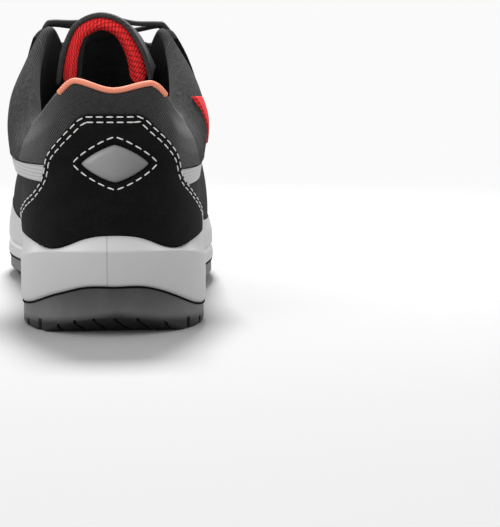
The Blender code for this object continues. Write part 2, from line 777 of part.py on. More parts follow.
def toe_cap(finish):
    """The overlay over the toe, from the sole's rim to its curved rear edge."""
    turns, shares = [], []
    for part in np.linspace(0.0, 1.0, 19):
        turn = CAP_TURN + (1 - 2 * CAP_TURN) * part
        low = rim_share(turn, 2 * SEAT)[0]
        high = low + 0.03 + (TOE_CAP_REACH - low) * math.sin(math.pi * part) ** 0.55
        turns.append(np.full(6, turn))
        shares.append(np.linspace(high, low, 6))
    return place("toe_cap", slab(turns, shares, SEAT, OVERLAY), finish)


def through(points, count):
    """Points evenly read from a smooth curve through a few points."""
    points = np.asarray(points)
    reach = np.concatenate([[0], np.cumsum(np.linalg.norm(np.diff(points, axis=0), axis=1))])
    slopes = np.gradient(points, reach, axis=0)
    out = []
    for at in np.linspace(0, reach[-1], count):
        i = min(np.searchsorted(reach, at, side="right") - 1, len(points) - 2)
        step = reach[i + 1] - reach[i]
        t = (at - reach[i]) / step
        near = points[i] * (1 + 2 * t) * (1 - t) ** 2 + points[i + 1] * t**2 * (3 - 2 * t)
        out.append(near + slopes[i] * step * t * (1 - t) ** 2 + slopes[i + 1] * step * t**2 * (t - 1))
    return np.array(out)


def throat_section(row):
    """Points across the tongue's outer face: up one wing, over the crown, and down the other."""
    turn, edge, wing, crown, draw = row
    ends = []
    for side in (turn, 1 - turn):
        low = edge - wing * TONGUE_WIDTH / rib_length(side)
        ends.append([lining(side, share, TONGUE_SLACK) for share in np.linspace(low, edge, 3)])
    inner, outer = np.array(ends)
    centre = (inner[-1] + outer[-1]) / 2
    way = (outer[-1] - inner[-1]) * draw / 2
    top = centre + np.array([0.0, 0.0, crown * TONGUE_WIDTH])
    return np.array([*(inner + way), top, *(outer - way)[::-1]])


def tongue_grid(count=13):
    """The tongue's outer face, row by row from its tucked front end to its free top."""
    rows = [through(throat_section(row), count) for row in TONGUE_ROWS]
    half = TONGUE_WIDTH / 2
    across, below = np.array(TOP_ROWS).T
    back = TONGUE_BACK * LENGTH + below * TONGUE_DROP * TONGUE_LEAN
    top = stack((across + TOP_SHIFT) * half, back, TONGUE_TOP - below * TONGUE_DROP)
    top = through(top, count)
    throat = rows[-1]
    for part in (0.35, 0.70):
        bulge = np.array([0.0, 0.0, 0.02 * TONGUE_WIDTH]) * math.sin(math.pi * part)
        rows.append(throat * (1 - part) + top * part + bulge)
    rows.append(top)
    return np.array(rows)


def sheet_normals(grid):
    """Directions out of a grid of points, up at the tongue's crown."""
    down = np.gradient(grid, axis=0)
    across = np.gradient(grid, axis=1)
    return unit(np.cross(down, across))


def layered(grid, away, start, depth):
    """A solid under a grid of points with the directions away, from start to depth further down."""
    loops = []
    for row, out, begin, thick in zip(grid, away, start, depth):
        over = row - out * begin[:, None]
        under = row - out * (begin + thick)[:, None]
        loops.append(np.vstack([over, under[::-1]]))
    return skin(loops)


def tongue(finish, red):
    """The tongue, and the padded lining rolled round its top end."""
    grid = tongue_grid()
    rows, count = grid.shape[:2]
    side = np.abs(np.linspace(-1, 1, count))
    level = np.linspace(0, 1, rows)[:, None]
    thick = TONGUE_THICKNESS + (TONGUE_EDGE - TONGUE_THICKNESS) * np.maximum(ease(level, 0.6, 0.85), side**3)
    away = sheet_normals(grid)
    made = [place("tongue", layered(grid, away, np.zeros_like(thick), thick), finish)]
    start = thick + SEAT
    roll = LINING_PAD * ease(level, 0.55, 0.95) * (0.55 + 0.45 * side**2) + OVERLAY
    made.append(place("tongue_lining", layered(grid[-5:], away[-5:], start[-5:], roll[-5:]), red))
    return made


def eyelet_places():
    """The turn of each eyelet on the inner side, evenly spaced along the throat's edge."""
    turns = np.linspace(*EYELET_TURNS, 60)
    reach = np.concatenate([[0], np.cumsum(np.linalg.norm(np.diff(crest(turns), axis=0), axis=1))])
    return np.interp(np.linspace(0, reach[-1], EYELET_PAIRS), reach, turns)


def eyelet_share(turn):
    return 1 - EYELET_INSET / rib_length(turn)


def eyelet(name, turn, finish):
    """A ring on the eyestay."""
    share = eyelet_share(turn)
    out = normal(turn, share)
    up = upward(turn, share)
    side = np.cross(out, up)
    centre = face(turn, share, SEAT + OVERLAY + GAP + EYELET_TUBE)
    loops = []
    for k in range(10):
        angle = 2 * math.pi * k / 10
        way = up * math.cos(angle) + side * math.sin(angle)
        ring = []
        for n in range(4):
            turned = 2 * math.pi * (n + 0.5) / 4
            reach = EYELET_RADIUS + EYELET_TUBE * math.cos(turned)
            ring.append(centre + way * reach + out * EYELET_TUBE * math.sin(turned))
        loops.append(ring)
    return place(name, skin(loops, hollow=True), finish)


def tongue_row(turn):
    """The tongue table's row at any inner turn."""
    table = np.array(TONGUE_ROWS)[::-1]
    return [turn] + [np.interp(turn, table[:, 0], table[:, k]) for k in range(1, len(TONGUE_COLUMNS))]


def lace_stop(turn, way):
    """Points round one eyelet, from the throat's edge and back. way is -1 on the run to the toe."""
    lift = SEAT + OVERLAY + 3 * GAP + 2 * EYELET_TUBE + LACE_RADIUS
    share = eyelet_share(turn)
    along = face(turn + 1e-3, share) - face(turn - 1e-3, share)
    step = LACE_BEND / np.linalg.norm(along) * 2e-3 * way * (-1 if turn < 0.5 else 1)
    sides = [turn - step, turn + step]
    edges = [[lip(np.array(side), angle, lift) for angle in (1.15, 0.45)] for side in sides]
    bends = [face(side, share, lift) for side in sides]
    back = face(turn, share - LACE_BEND / rib_length(turn), lift)
    return [*edges[0], bends[0], back, bends[1], *edges[1][::-1]]


def instep_normal():
    """The direction out of the instep, along the throat's middle."""
    slope = crest(EYELET_TURNS[1]) - crest(EYELET_TURNS[0])
    return unit(np.array([0.0, slope[2], -slope[1]]))


def lace_span(start, end, turns, over):
    """Points over the tongue between two of the throat's edges, raised where the runs cross."""
    inner = [min(turn, 1 - turn) for turn in turns]
    up = instep_normal()
    points = []
    for part in (0.2, 0.35, 0.5, 0.65, 0.8):
        chord = start + (end - start) * part
        section = through(throat_section(tongue_row(inner[0] + (inner[1] - inner[0]) * part)), 33)
        under = section[np.argmin(np.abs(section[:, 0] - chord[0]))]
        rise = max((under - chord) @ up + LACE_RADIUS + 5 * GAP, 0.0)
        points.append(chord + up * (rise + over * (1 - abs(2 * part - 1))))
    return points


def lace(finish):
    """One lace, zigzag up the throat and back, with a bar across its bottom and its top."""
    inner = list(eyelet_places())
    outer = [1 - turn for turn in inner]
    pairs = range(EYELET_PAIRS)
    up = [inner[k] if k % 2 == 0 else outer[k] for k in pairs]
    down = [outer[k] if k % 2 == 0 else inner[k] for k in pairs]
    turns = up + down[::-1]
    stops = [lace_stop(turn, 1 if k < EYELET_PAIRS else -1) for k, turn in enumerate(turns)]
    points = []
    for k, stop in enumerate(stops):
        after = (k + 1) % len(stops)
        over = 2 * LACE_RADIUS + 4 * GAP if k < EYELET_PAIRS - 1 else 0.0
        points += stop + lace_span(stop[-1], stops[after][0], (turns[k], turns[after]), over)
    return tube("lace", np.array(points), LACE_RADIUS, instep_normal(), finish, closed=True)


def clear_scene():
    for old in list(bpy.data.objects):
        bpy.data.objects.remove(old, do_unlink=True)


def main():
    clear_scene()
    outsole(material("outsole rubber", (0.045, 0.045, 0.047), 0.62))
    midsole(material("midsole foam", (0.40, 0.40, 0.40), 0.55))
    insole(material("insole", (0.05, 0.05, 0.05), 0.85))
    upper(material("upper mesh", (0.055, 0.055, 0.058), 0.85))
    suede = material("black suede", (0.012, 0.012, 0.013), 0.95)
    heel_counter(suede)
    toe_cap(suede)
    eyestay(suede)
    heel_lens(material("heel lens", (0.24, 0.24, 0.25), 0.4))
    collar_piping(material("piping", (0.75, 0.19, 0.07), 0.7))
    reflective = material("reflective strip", (0.52, 0.52, 0.52), 0.45)
    side_strip("side_strip_medial", STRIP_ENDS[0], 0.0, reflective)
    side_strip("side_strip_lateral", STRIP_ENDS[1], STRIP_LOWER, reflective)
    red = material("red knit", (0.72, 0.02, 0.02), 0.9)
    side_tag(red)
    tongue(material("tongue mesh", (0.06, 0.06, 0.063), 0.9), red)
    ring = material("eyelet", (0.03, 0.03, 0.03), 0.45)
    for k, turn in enumerate(eyelet_places(), 1):
        eyelet(f"eyelet_medial_{k}", turn, ring)
        eyelet(f"eyelet_lateral_{k}", 1 - turn, ring)
    lace(material("lace", (0.02, 0.02, 0.021), 0.9))


main()
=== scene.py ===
"""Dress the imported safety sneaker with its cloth, suede, rubber, thread and studio light.

Metres, +Z up. The toe points along +Y and the inner side of the foot is at -X. The shoe's shape is
worked out from its named sizes and tables: lengths are shares of the sizes, and a turn runs once
round the shoe, 0 at the back of the heel, 0.25 at the inner waist, 0.5 at the toe.
"""

import math

import bmesh
import bpy
import numpy as np
from bpy.props import FloatProperty, FloatVectorProperty, PointerProperty
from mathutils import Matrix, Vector, kdtree


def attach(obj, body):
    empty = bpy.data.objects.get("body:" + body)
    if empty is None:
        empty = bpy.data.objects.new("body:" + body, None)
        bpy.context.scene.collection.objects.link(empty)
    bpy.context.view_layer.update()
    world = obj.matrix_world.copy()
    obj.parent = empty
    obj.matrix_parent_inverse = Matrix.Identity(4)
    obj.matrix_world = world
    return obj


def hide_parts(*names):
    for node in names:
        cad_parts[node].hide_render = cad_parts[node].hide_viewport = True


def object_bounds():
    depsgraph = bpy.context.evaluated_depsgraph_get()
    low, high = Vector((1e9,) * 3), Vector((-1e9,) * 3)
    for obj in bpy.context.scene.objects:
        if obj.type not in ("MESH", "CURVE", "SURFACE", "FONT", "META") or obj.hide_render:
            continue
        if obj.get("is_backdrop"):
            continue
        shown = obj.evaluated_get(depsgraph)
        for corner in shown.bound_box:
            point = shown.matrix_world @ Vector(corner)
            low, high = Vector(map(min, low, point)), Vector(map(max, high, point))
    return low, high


bl_info = {
    "name": "Safety sneaker",
    "version": (1, 0, 0),
    "blender": (4, 5, 0),
    "location": "3D View > Sidebar > Sneaker",
    "description": "Builds the cloth, suede, rubber and thread of a safety sneaker on its frame",
    "category": "Add Mesh",
}

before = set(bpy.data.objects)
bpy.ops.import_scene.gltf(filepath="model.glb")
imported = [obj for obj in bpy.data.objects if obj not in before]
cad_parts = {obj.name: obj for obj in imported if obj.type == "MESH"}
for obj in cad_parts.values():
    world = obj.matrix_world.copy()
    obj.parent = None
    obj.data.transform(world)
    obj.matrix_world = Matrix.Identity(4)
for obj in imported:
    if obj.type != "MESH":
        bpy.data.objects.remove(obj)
CAD_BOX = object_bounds()

# Sole and last
LENGTH = 0.300
BALL_WIDTH = 0.107
HEEL_WIDTH = 0.078
HEEL_FLOOR = 0.026
BALL_FLOOR = 0.017
TOE_SPRING = 0.013
ARCH_RISE = 0.007
HEEL_BEVEL_LENGTH = 0.0166
HEEL_BEVEL_RISE = 0.0076
REST_CENTRE = 0.047
SOLE_EDGE = 0.0045
RIM_HEIGHT = 0.0385
WELD_HEIGHT = 0.0204
OUTSOLE_INSET = 0.0010
OUTSOLE_BEVEL = 0.0045
TREAD_DEPTH = 0.0035
TREAD_GROOVE = 0.0034
TREAD_PITCH = 0.0125
TREAD_ARCH = (0.36, 0.50)
TREAD_END = 0.95
INSOLE = 0.0035
INSOLE_SLACK = 0.0008

# Upper
TAB_HEIGHT = 0.0958
INSTEP_HEIGHT = 0.126
COLLAR_WIDTH = 0.070
WALL = 0.002
COLLAR_PAD = 0.0085
OVERLAY = 0.0013
COUNTER_HEIGHT = 0.0906
TOE_CAP_REACH = 0.60
EYESTAY_WIDTH = 0.017
PIPING_RADIUS = 0.0011
LENS_WIDTH = 0.0265
LENS_HEIGHT = 0.0152
LENS_CENTRE = 0.0702
LENS_THICKNESS = 0.0019
LENS_POINT = 1.55
STRIP_HEIGHT = 0.0072
STRIP_CENTRE = 0.0655
STRIP_LOWER = 0.0022
STRIP_TAPER = 0.55
STRIP_SWEEP = 0.90
TAG_HEIGHT = 0.021
TAG_WIDTH = 0.011
TAG_CENTRE = 0.085

# Tongue and lace
TONGUE_THICKNESS = 0.0040
TONGUE_SLACK = 0.0014
TONGUE_EDGE = 0.0023
TONGUE_TOP = 0.134
TONGUE_DROP = 0.033
TONGUE_WIDTH = 0.0457
TONGUE_BACK = 0.350
TONGUE_LEAN = 0.12
LINING_PAD = 0.0078
LACE_RADIUS = 0.00125
EYELET_RADIUS = 0.0033
EYELET_TUBE = 0.0006
EYELET_PAIRS = 5
EYELET_INSET = 0.0080

# Clearance between pieces that touch on the real shoe
GAP = 0.0003
SEAT = 0.0006

HALF_BALL = BALL_WIDTH / 2
HALF_HEEL = HEEL_WIDTH / 2
HALF_COLLAR = COLLAR_WIDTH / 2

# The sole's outline seen from above: how far along, and across in half heel and half ball widths
PLAN_COLUMNS = ("turn", "along", "heel", "ball")
PLAN_ROWS = (
    (0.000, 0.000, -0.015, 0.000),
    (0.040, 0.033, -0.635, 0.000),
    (0.083, 0.120, -1.020, 0.000),
    (0.130, 0.227, -1.000, 0.000),
    (0.180, 0.340, -0.620, -0.190),
    (0.230, 0.457, -0.300, -0.500),
    (0.288, 0.577, 0.000, -0.916),
    (0.340, 0.690, 0.000, -1.060),
    (0.400, 0.822, 0.000, -0.990),
    (0.455, 0.936, 0.000, -0.745),
    (0.500, 1.000, 0.000, -0.150),
    (0.545, 0.955, 0.000, 0.440),
    (0.600, 0.850, 0.000, 0.785),
    (0.660, 0.710, 0.000, 0.925),
    (0.712, 0.583, 0.000, 0.935),
    (0.770, 0.457, 0.300, 0.594),
    (0.820, 0.340, 0.620, 0.286),
    (0.870, 0.227, 0.975, 0.000),
    (0.917, 0.120, 0.970, 0.000),
    (0.960, 0.033, 0.585, 0.000),
)

# The collar and throat edge: across in half collar widths, up in heel tab and instep heights
CREST_COLUMNS = ("turn", "along", "across", "tab", "instep")
CREST_ROWS = (
    (0.000, 0.043, -0.030, 1.000, 0.000),
    (0.040, 0.052, -0.465, 1.038, 0.000),
    (0.075, 0.100, -0.745, 0.940, 0.000),
    (0.105, 0.167, -0.930, 0.862, 0.000),
    (0.130, 0.220, -1.015, 0.872, 0.000),
    (0.160, 0.273, -1.070, 0.500, 0.377),
    (0.190, 0.323, -1.057, 0.200, 0.710),
    (0.215, 0.367, -0.957, 0.000, 0.956),
    (0.235, 0.397, -0.857, 0.000, 1.000),
    (0.255, 0.430, -0.771, 0.000, 0.972),
    (0.290, 0.487, -0.657, 0.000, 0.885),
    (0.340, 0.557, -0.514, 0.000, 0.762),
    (0.400, 0.617, -0.386, 0.000, 0.663),
    (0.455, 0.650, -0.257, 0.000, 0.615),
    (0.500, 0.662, -0.114, 0.000, 0.600),
    (0.545, 0.650, 0.029, 0.000, 0.615),
    (0.600, 0.617, 0.157, 0.000, 0.663),
    (0.660, 0.557, 0.300, 0.000, 0.762),
    (0.710, 0.487, 0.457, 0.000, 0.885),
    (0.745, 0.430, 0.571, 0.000, 0.968),
    (0.765, 0.397, 0.657, 0.000, 0.994),
    (0.785, 0.367, 0.743, 0.000, 0.948),
    (0.810, 0.323, 0.814, 0.200, 0.706),
    (0.840, 0.273, 0.829, 0.500, 0.385),
    (0.870, 0.220, 0.800, 0.903, 0.000),
    (0.895, 0.167, 0.757, 0.892, 0.000),
    (0.925, 0.100, 0.625, 0.945, 0.000),
    (0.960, 0.052, 0.429, 1.027, 0.000),
)

# How the wall leaves the sole and meets the edge above it. rise and drop are shares of the edge's
# height over the foot, lean and out of half the ball width, reach of the way from edge to foot,
# and pad of the collar's padding
FORM_COLUMNS = ("turn", "rise", "lean", "reach", "out", "drop", "pad")
FORM_ROWS = (
    (0.000, 0.360, 0.100, 0.00, -0.030, 0.33, 0.90),
    (0.083, 0.380, 0.080, 0.00, 0.080, 0.30, 0.95),
    (0.130, 0.380, 0.110, 0.00, 0.190, 0.16, 1.00),
    (0.180, 0.380, 0.240, 0.00, 0.200, 0.17, 1.00),
    (0.235, 0.330, 0.230, 0.25, 0.160, 0.24, 0.30),
    (0.288, 0.400, 0.215, 0.42, 0.120, 0.27, 0.00),
    (0.340, 0.470, 0.135, 0.50, 0.080, 0.24, 0.00),
    (0.400, 0.520, 0.030, 0.55, 0.040, 0.18, 0.00),
    (0.455, 0.700, 0.060, 0.58, 0.020, 0.16, 0.00),
    (0.500, 0.740, 0.080, 0.60, 0.000, 0.15, 0.00),
    (0.545, 0.700, 0.060, 0.58, 0.020, 0.16, 0.00),
    (0.600, 0.520, 0.030, 0.55, 0.040, 0.18, 0.00),
    (0.660, 0.470, 0.100, 0.50, 0.080, 0.24, 0.00),
    (0.712, 0.400, 0.135, 0.42, 0.125, 0.27, 0.00),
    (0.765, 0.330, 0.130, 0.25, 0.225, 0.24, 0.30),
    (0.820, 0.380, 0.110, 0.00, 0.255, 0.17, 1.00),
    (0.870, 0.380, 0.070, 0.00, 0.205, 0.16, 1.00),
    (0.917, 0.380, 0.080, 0.00, 0.080, 0.30, 0.95),
)

# The sole's side. top and lip are the edge against the upper and the lower edge of its bevel, in
# rim heights. weld is where outsole and midsole meet, in weld heights. step is how much of the
# midsole's side steps shows, and bevel the height and width of the outsole's lower bevel
SIDE_COLUMNS = ("turn", "top", "lip", "weld", "step", "bevel")
SIDE_ROWS = (
    (0.000, 1.075, 0.904, 1.000, 0.0, 0.12),
    (0.020, 1.040, 0.902, 0.985, 0.0, 0.12),
    (0.032, 0.970, 0.900, 0.890, 0.0, 0.12),
    (0.045, 0.912, 0.890, 0.770, 0.0, 0.12),
    (0.066, 0.950, 0.830, 0.560, 0.0, 0.15),
    (0.090, 1.005, 0.745, 0.470, 0.0, 0.20),
    (0.130, 0.985, 0.740, 0.480, 0.0, 0.40),
    (0.180, 0.925, 0.745, 0.610, 0.4, 0.70),
    (0.240, 0.880, 0.700, 0.560, 1.0, 1.00),
    (0.300, 0.870, 0.680, 0.530, 1.0, 1.00),
    (0.345, 1.080, 0.740, 0.560, 1.0, 1.00),
    (0.400, 1.060, 0.850, 0.760, 1.0, 0.90),
    (0.500, 1.160, 1.000, 1.100, 0.9, 0.80),
    (0.600, 1.040, 0.840, 0.750, 1.0, 0.90),
    (0.655, 0.920, 0.710, 0.560, 1.0, 1.00),
    (0.700, 0.850, 0.675, 0.530, 1.0, 1.00),
    (0.760, 0.870, 0.700, 0.550, 1.0, 1.00),
    (0.820, 0.925, 0.745, 0.580, 0.4, 0.70),
    (0.870, 0.985, 0.740, 0.460, 0.0, 0.40),
    (0.910, 1.005, 0.745, 0.410, 0.0, 0.20),
    (0.934, 0.950, 0.830, 0.500, 0.0, 0.15),
    (0.955, 0.912, 0.890, 0.740, 0.0, 0.12),
    (0.968, 0.970, 0.900, 0.890, 0.0, 0.12),
    (0.980, 1.040, 0.902, 0.985, 0.0, 0.12),
)

# The midsole's side: how far up from its bottom (0) to the bevel (1), and how far it is set in there
STEP_ROWS = (
    (0.06, 0.0000),
    (0.36, 0.0003),
    (0.42, 0.0015),
    (0.49, 0.0015),
    (0.55, 0.0003),
    (1.00, 0.0006),
)

# The heel counter's two front edges: how far up from the sole's rim (0) to its top (1), and the
# turn of the inner and of the outer edge there
COUNTER_ROWS = (
    (0.00, 0.106, 0.896),
    (0.16, 0.100, 0.902),
    (0.28, 0.086, 0.914),
    (0.40, 0.070, 0.926),
    (0.53, 0.061, 0.938),
    (0.67, 0.057, 0.943),
    (0.80, 0.047, 0.953),
    (0.90, 0.038, 0.963),
    (0.97, 0.031, 0.970),
    (1.00, 0.024, 0.976),
)

# The tongue in the throat, from its tucked front end up to the throat's top corners: the turn of
# the inner edge, how far up the wall its shoulder lies, the width of the wing under the eyestay and
# the crown's height over the shoulders, both in tongue widths, and how far it draws in to its middle
TONGUE_COLUMNS = ("turn", "edge", "wing", "crown", "draw")
TONGUE_ROWS = (
    (0.468, 0.86, 0.12, -0.020, 0.00),
    (0.456, 0.91, 0.16, -0.050, 0.02),
    (0.440, 0.95, 0.22, -0.060, 0.08),
    (0.420, 0.98, 0.25, -0.010, 0.13),
    (0.395, 1.00, 0.28, 0.050, 0.10),
    (0.375, 1.00, 0.30, 0.090, 0.06),
    (0.335, 1.00, 0.33, 0.110, 0.11),
    (0.295, 1.00, 0.36, 0.140, 0.18),
    (0.260, 1.00, 0.42, 0.170, 0.26),
    (0.238, 1.00, 0.46, 0.190, 0.32),
)

# The tongue's free top end seen from behind: across in half widths, and below its top in drops
TOP_ROWS = (
    (-1.00, 1.00),
    (-0.94, 0.74),
    (-0.84, 0.46),
    (-0.57, 0.13),
    (-0.14, 0.00),
    (0.40, 0.10),
    (0.72, 0.38),
    (0.89, 0.62),
    (1.00, 0.95),
)
TOP_SHIFT = -0.205

# Eyestay: the turn, and the width of the band below the throat's edge there in eyestay widths
EYESTAY_ROWS = (
    (0.217, 1.60),
    (0.235, 2.10),
    (0.262, 1.95),
    (0.300, 1.25),
    (0.360, 1.00),
    (0.500, 1.00),
    (0.640, 1.00),
    (0.700, 1.25),
    (0.738, 1.95),
    (0.765, 2.10),
    (0.783, 1.60),
)
EYELET_TURNS = (0.418, 0.246)
PIPING_TURN = 0.050
STRIP_ENDS = (0.205, 0.800)
TAG_TURN = 0.834
CAP_TURN = 0.385

# The quarter's hem: its height, its gap above the strips, how far it fades out past them, the turn
# where it starts, and its rounding, as the way up over it and the share of its height there
HEM = 0.0011
HEM_GAP = 0.0004
HEM_FADE = 0.035
HEM_START = 0.062
HEM_STEPS = ((0.0001, 0.55), (0.0003, 0.85), (0.0006, 1.0), (0.0012, 1.12), (0.0022, 1.0))

# The upper's finishes in the order of its material slots, the last a lighter copy of the cloth painted as a
# highlight on the tab's rim, how far round the tab reaches, the turns of that painted highlight, and how far
# round the lip the lining begins
QUARTER, PANEL, TAB, LINING, EDGE = range(5)
TAB_TURN = 0.100
TAB_RIM_HIGHLIGHT = (0.047, 0.108)
LINING_ANGLE = 1.15

# Overlays: how far the suede's face and its edge stand off the cloth, how far in each piece is
# rounded, the gap at the strips' back ends, and where the suede sinks round the lens
SUEDE_TOP = SEAT + OVERLAY
EDGE_LIFT = 0.0002
EDGE_SOFT = 0.0012
COUNTER_SOFT = 0.0011
TAG_SOFT = 0.0008
STRIP_SOFT = 0.0004
STRIP_BORDER = 0.0015
LENS_BORDER = (0.0002, 0.0022)

# Sole: rounding of its moulded corners, the mould line at its back and the half thickness of the painted
# shadow line in its joint
MOULD_SOFT = 0.0006
RUBBER_SOFT = 0.0004
PARTING = -0.0036
SHADOW_LINE_RADIUS = 0.0004
SOLE_POINTS = 420

# The slanted cuts over the heel's bevel: how many to a side, apart in heel widths, width and depth
HEEL_CUTS = 3
HEEL_CUT_PITCH = 0.115
HEEL_CUT_WIDTH = 0.0016
HEEL_CUT_DEPTH = 0.0014

# The insole's cover from its underside to its middle: how far in, and how much of its thickness up
INSOLE_DISH = 0.0012
INSOLE_RINGS = (
    (0.0, 0.0),
    (0.0, 0.55),
    (0.006, 0.85),
    (0.02, 1.0),
    (0.2, 1.0),
    (0.4, 1.0),
    (0.6, 1.0),
    (0.8, 1.0),
    (0.97, 1.0),
)

# Tongue roll: its cloth's extra thickness, and the rows of red below its end
KNIT_PAD = 0.0007
RED_ROWS = 13

# Rings and cord stand a little proud of the CAD's: the eyelets across and out, and the piping
EYELET_SWELL = (1.15, 1.25)
PIPING_SWELL = 1.08

# Half the gap between a strand of lace going into an eyelet and the one coming out
STRAND = 0.0013

# Stitch rows: how far inside each edge, less than 0 where the edge runs the other way
COUNTER_ROWS_IN = (0.0014, 0.0036)
EYESTAY_ROWS_IN = (-0.0016, -0.0038)
THROAT_ROW_IN = 0.0022
CAP_ROWS_IN = (0.0016, 0.0038)
LENS_ROW_OUT = 0.0031

# One stitch from end to end: place in stitch lengths, size, and lift in thread radii
STITCH_RINGS = (
    (-0.50, 0.35, -0.5),
    (-0.40, 0.85, 0.0),
    (0.00, 1.00, 0.35),
    (0.40, 0.85, 0.0),
    (0.50, 0.35, -0.5),
)

# Studio: floor, lamps, and the camera's lens in millimetres, distance behind the heel's seat,
# height, and angles down and to the right in degrees
FLOOR_REACH = 1.6
FLOOR_DROP = 0.0002
AIM = (0.0, 0.02, 0.06)
KEY_PLACE = (0.0, 0.72, 1.15)
KEY_SIZE = 0.30
FILL_PLACE = (-0.9, -0.9, 0.8)
FILL_SIZE = 0.9
FILL_SHARE = 0.16
CAMERA_LENS = 109.8
CAMERA_BACK = 0.650
CAMERA_HEIGHT = 0.112
CAMERA_DOWN = 7.19
CAMERA_RIGHT = 4.80


class Loop:
    """A smooth closed curve round the shoe through a table's rows, read by column at any turn."""

    def __init__(self, columns, rows):
        table = np.array(rows)
        self.columns = columns[1:]
        self.turns = np.append(table[:, 0], table[0, 0] + 1)
        self.values = np.vstack([table[:, 1:], table[:1, 1:]])
        steps = np.diff(self.turns)
        slopes = np.diff(self.values, axis=0) / steps[:, None]
        count = len(steps)
        matrix = np.zeros((count, count))
        for i in range(count):
            matrix[i, i - 1] += steps[i - 1]
            matrix[i, i] += 2 * (steps[i - 1] + steps[i])
            matrix[i, (i + 1) % count] += steps[i]
        bends = np.linalg.solve(matrix, 6 * (slopes - np.roll(slopes, 1, axis=0)))
        self.bends = np.vstack([bends, bends[:1]])

    def at(self, turn):
        """Every column at the given turns, as a dictionary of arrays."""
        turn = np.mod(np.asarray(turn, float), 1.0)
        i = np.clip(np.searchsorted(self.turns, turn, side="right") - 1, 0, len(self.turns) - 2)
        step = (self.turns[i + 1] - self.turns[i])[..., None]
        far = (turn - self.turns[i])[..., None]
        near = step - far
        straight = (self.values[i] * near + self.values[i + 1] * far) / step
        bent = self.bends[i] * (near**3 / step - near * step) / 6
        bent += self.bends[i + 1] * (far**3 / step - far * step) / 6
        read = straight + bent
        return {name: read[..., k] for k, name in enumerate(self.columns)}


PLAN = Loop(PLAN_COLUMNS, PLAN_ROWS)
CREST = Loop(CREST_COLUMNS, CREST_ROWS)
FORM = Loop(FORM_COLUMNS, FORM_ROWS)
SIDE = Loop(SIDE_COLUMNS, SIDE_ROWS)


def ease(value, start, end):
    """0 up to start, 1 from end on, and smooth between them."""
    share = np.clip((value - start) / (end - start), 0.0, 1.0)
    return share * share * (3 - 2 * share)


def unit(vectors):
    return vectors / np.maximum(np.linalg.norm(vectors, axis=-1, keepdims=True), 1e-12)


def stack(x, y, z):
    return np.stack(np.broadcast_arrays(x, y, z), axis=-1)


def spring(y):
    """How far the toe spring lifts the sole."""
    return TOE_SPRING * np.clip((y / LENGTH - 0.70) / 0.30, 0.0, 1.0) ** 1.8


def floor_height(y):
    """The top of the midsole, on which the upper and the insole stand."""
    heel = 1 - ease(y / LENGTH, 0.28, 0.62)
    return BALL_FLOOR + (HEEL_FLOOR - BALL_FLOOR) * heel + spring(y)


def ground_height(y):
    """The outsole's underside before its grooves: heel bevel, heel, arch, ball and toe spring."""
    bevel = HEEL_BEVEL_RISE * np.clip(1 - y / HEEL_BEVEL_LENGTH, 0.0, 1.0)
    arch = ARCH_RISE * ease(y / LENGTH, 0.27, 0.37) * (1 - ease(y / LENGTH, 0.40, 0.52))
    return bevel + arch + spring(y)


def outline(turn, inset=0.0):
    """The sole's outline seen from above, set in by a distance. Returns x and y."""
    def plain(t):
        row = PLAN.at(t)
        return row["heel"] * HALF_HEEL + row["ball"] * HALF_BALL, row["along"] * LENGTH

    x, y = plain(turn)
    ahead, behind = plain(np.asarray(turn) + 1e-3), plain(np.asarray(turn) - 1e-3)
    dx, dy = ahead[0] - behind[0], ahead[1] - behind[1]
    size = np.hypot(dx, dy)
    return x + dy / size * inset, y - dx / size * inset


def outward(turn):
    """The level direction out of the sole's edge."""
    inner, edge = outline(turn, 0.001), outline(turn)
    return unit(stack(edge[0] - inner[0], edge[1] - inner[1], 0.0))


def crest(turn):
    """The middle of the wall along the collar and the throat."""
    row = CREST.at(turn)
    z = row["tab"] * TAB_HEIGHT + row["instep"] * INSTEP_HEIGHT
    return stack(row["across"] * HALF_COLLAR, row["along"] * LENGTH, z)


def middle(turn, share):
    """The middle of the upper's wall, from its foot on the sole (share 0) to its edge (share 1)."""
    turn, share = np.broadcast_arrays(np.asarray(turn, float), np.asarray(share, float))
    form = FORM.at(turn)
    x, y = outline(turn, SOLE_EDGE + WALL / 2)
    foot = stack(x, y, floor_height(y) + GAP)
    top = crest(turn)
    out = outward(turn)
    up = np.array([0.0, 0.0, 1.0])
    height = (top - foot)[..., 2]
    level = (foot - top) * np.array([1.0, 1.0, 0.0])
    low = foot + up * (form["rise"] * height)[..., None] + out * (form["lean"] * HALF_BALL)[..., None]
    high = top - up * (form["drop"] * height)[..., None] + level * form["reach"][..., None]
    high = high + out * (form["out"] * HALF_BALL)[..., None]
    s = share[..., None]
    r = 1 - s
    return foot * r**3 + low * (3 * s * r**2) + high * (3 * s**2 * r) + top * s**3


def upward(turn, share):
    """The direction up the wall."""
    share = np.asarray(share, float)
    return unit(middle(turn, np.minimum(share + 1e-3, 1)) - middle(turn, np.maximum(share - 1e-3, 0)))


def normal(turn, share):
    """The direction out of the wall."""
    turn = np.asarray(turn, float)
    along = middle(turn + 1e-3, share) - middle(turn - 1e-3, share)
    return unit(np.cross(upward(turn, share), along))


def thickness(turn, share):
    """The wall's thickness: plain low down and on the vamp, padded along the collar."""
    pad = np.clip(FORM.at(turn)["pad"], 0.0, None) * (COLLAR_PAD - WALL)
    return WALL + pad * ease(share, 0.45, 0.72)


def face(turn, share, off=0.0):
    """The upper's outer face, or a face a distance outside it."""
    half = thickness(turn, share)[..., None] / 2
    return middle(turn, share) + normal(turn, share) * (half + off)


def lining(turn, share, off=0.0):
    """The upper's inner face, or a face a distance inside it."""
    half = thickness(turn, share)[..., None] / 2
    return middle(turn, share) - normal(turn, share) * (half + off)


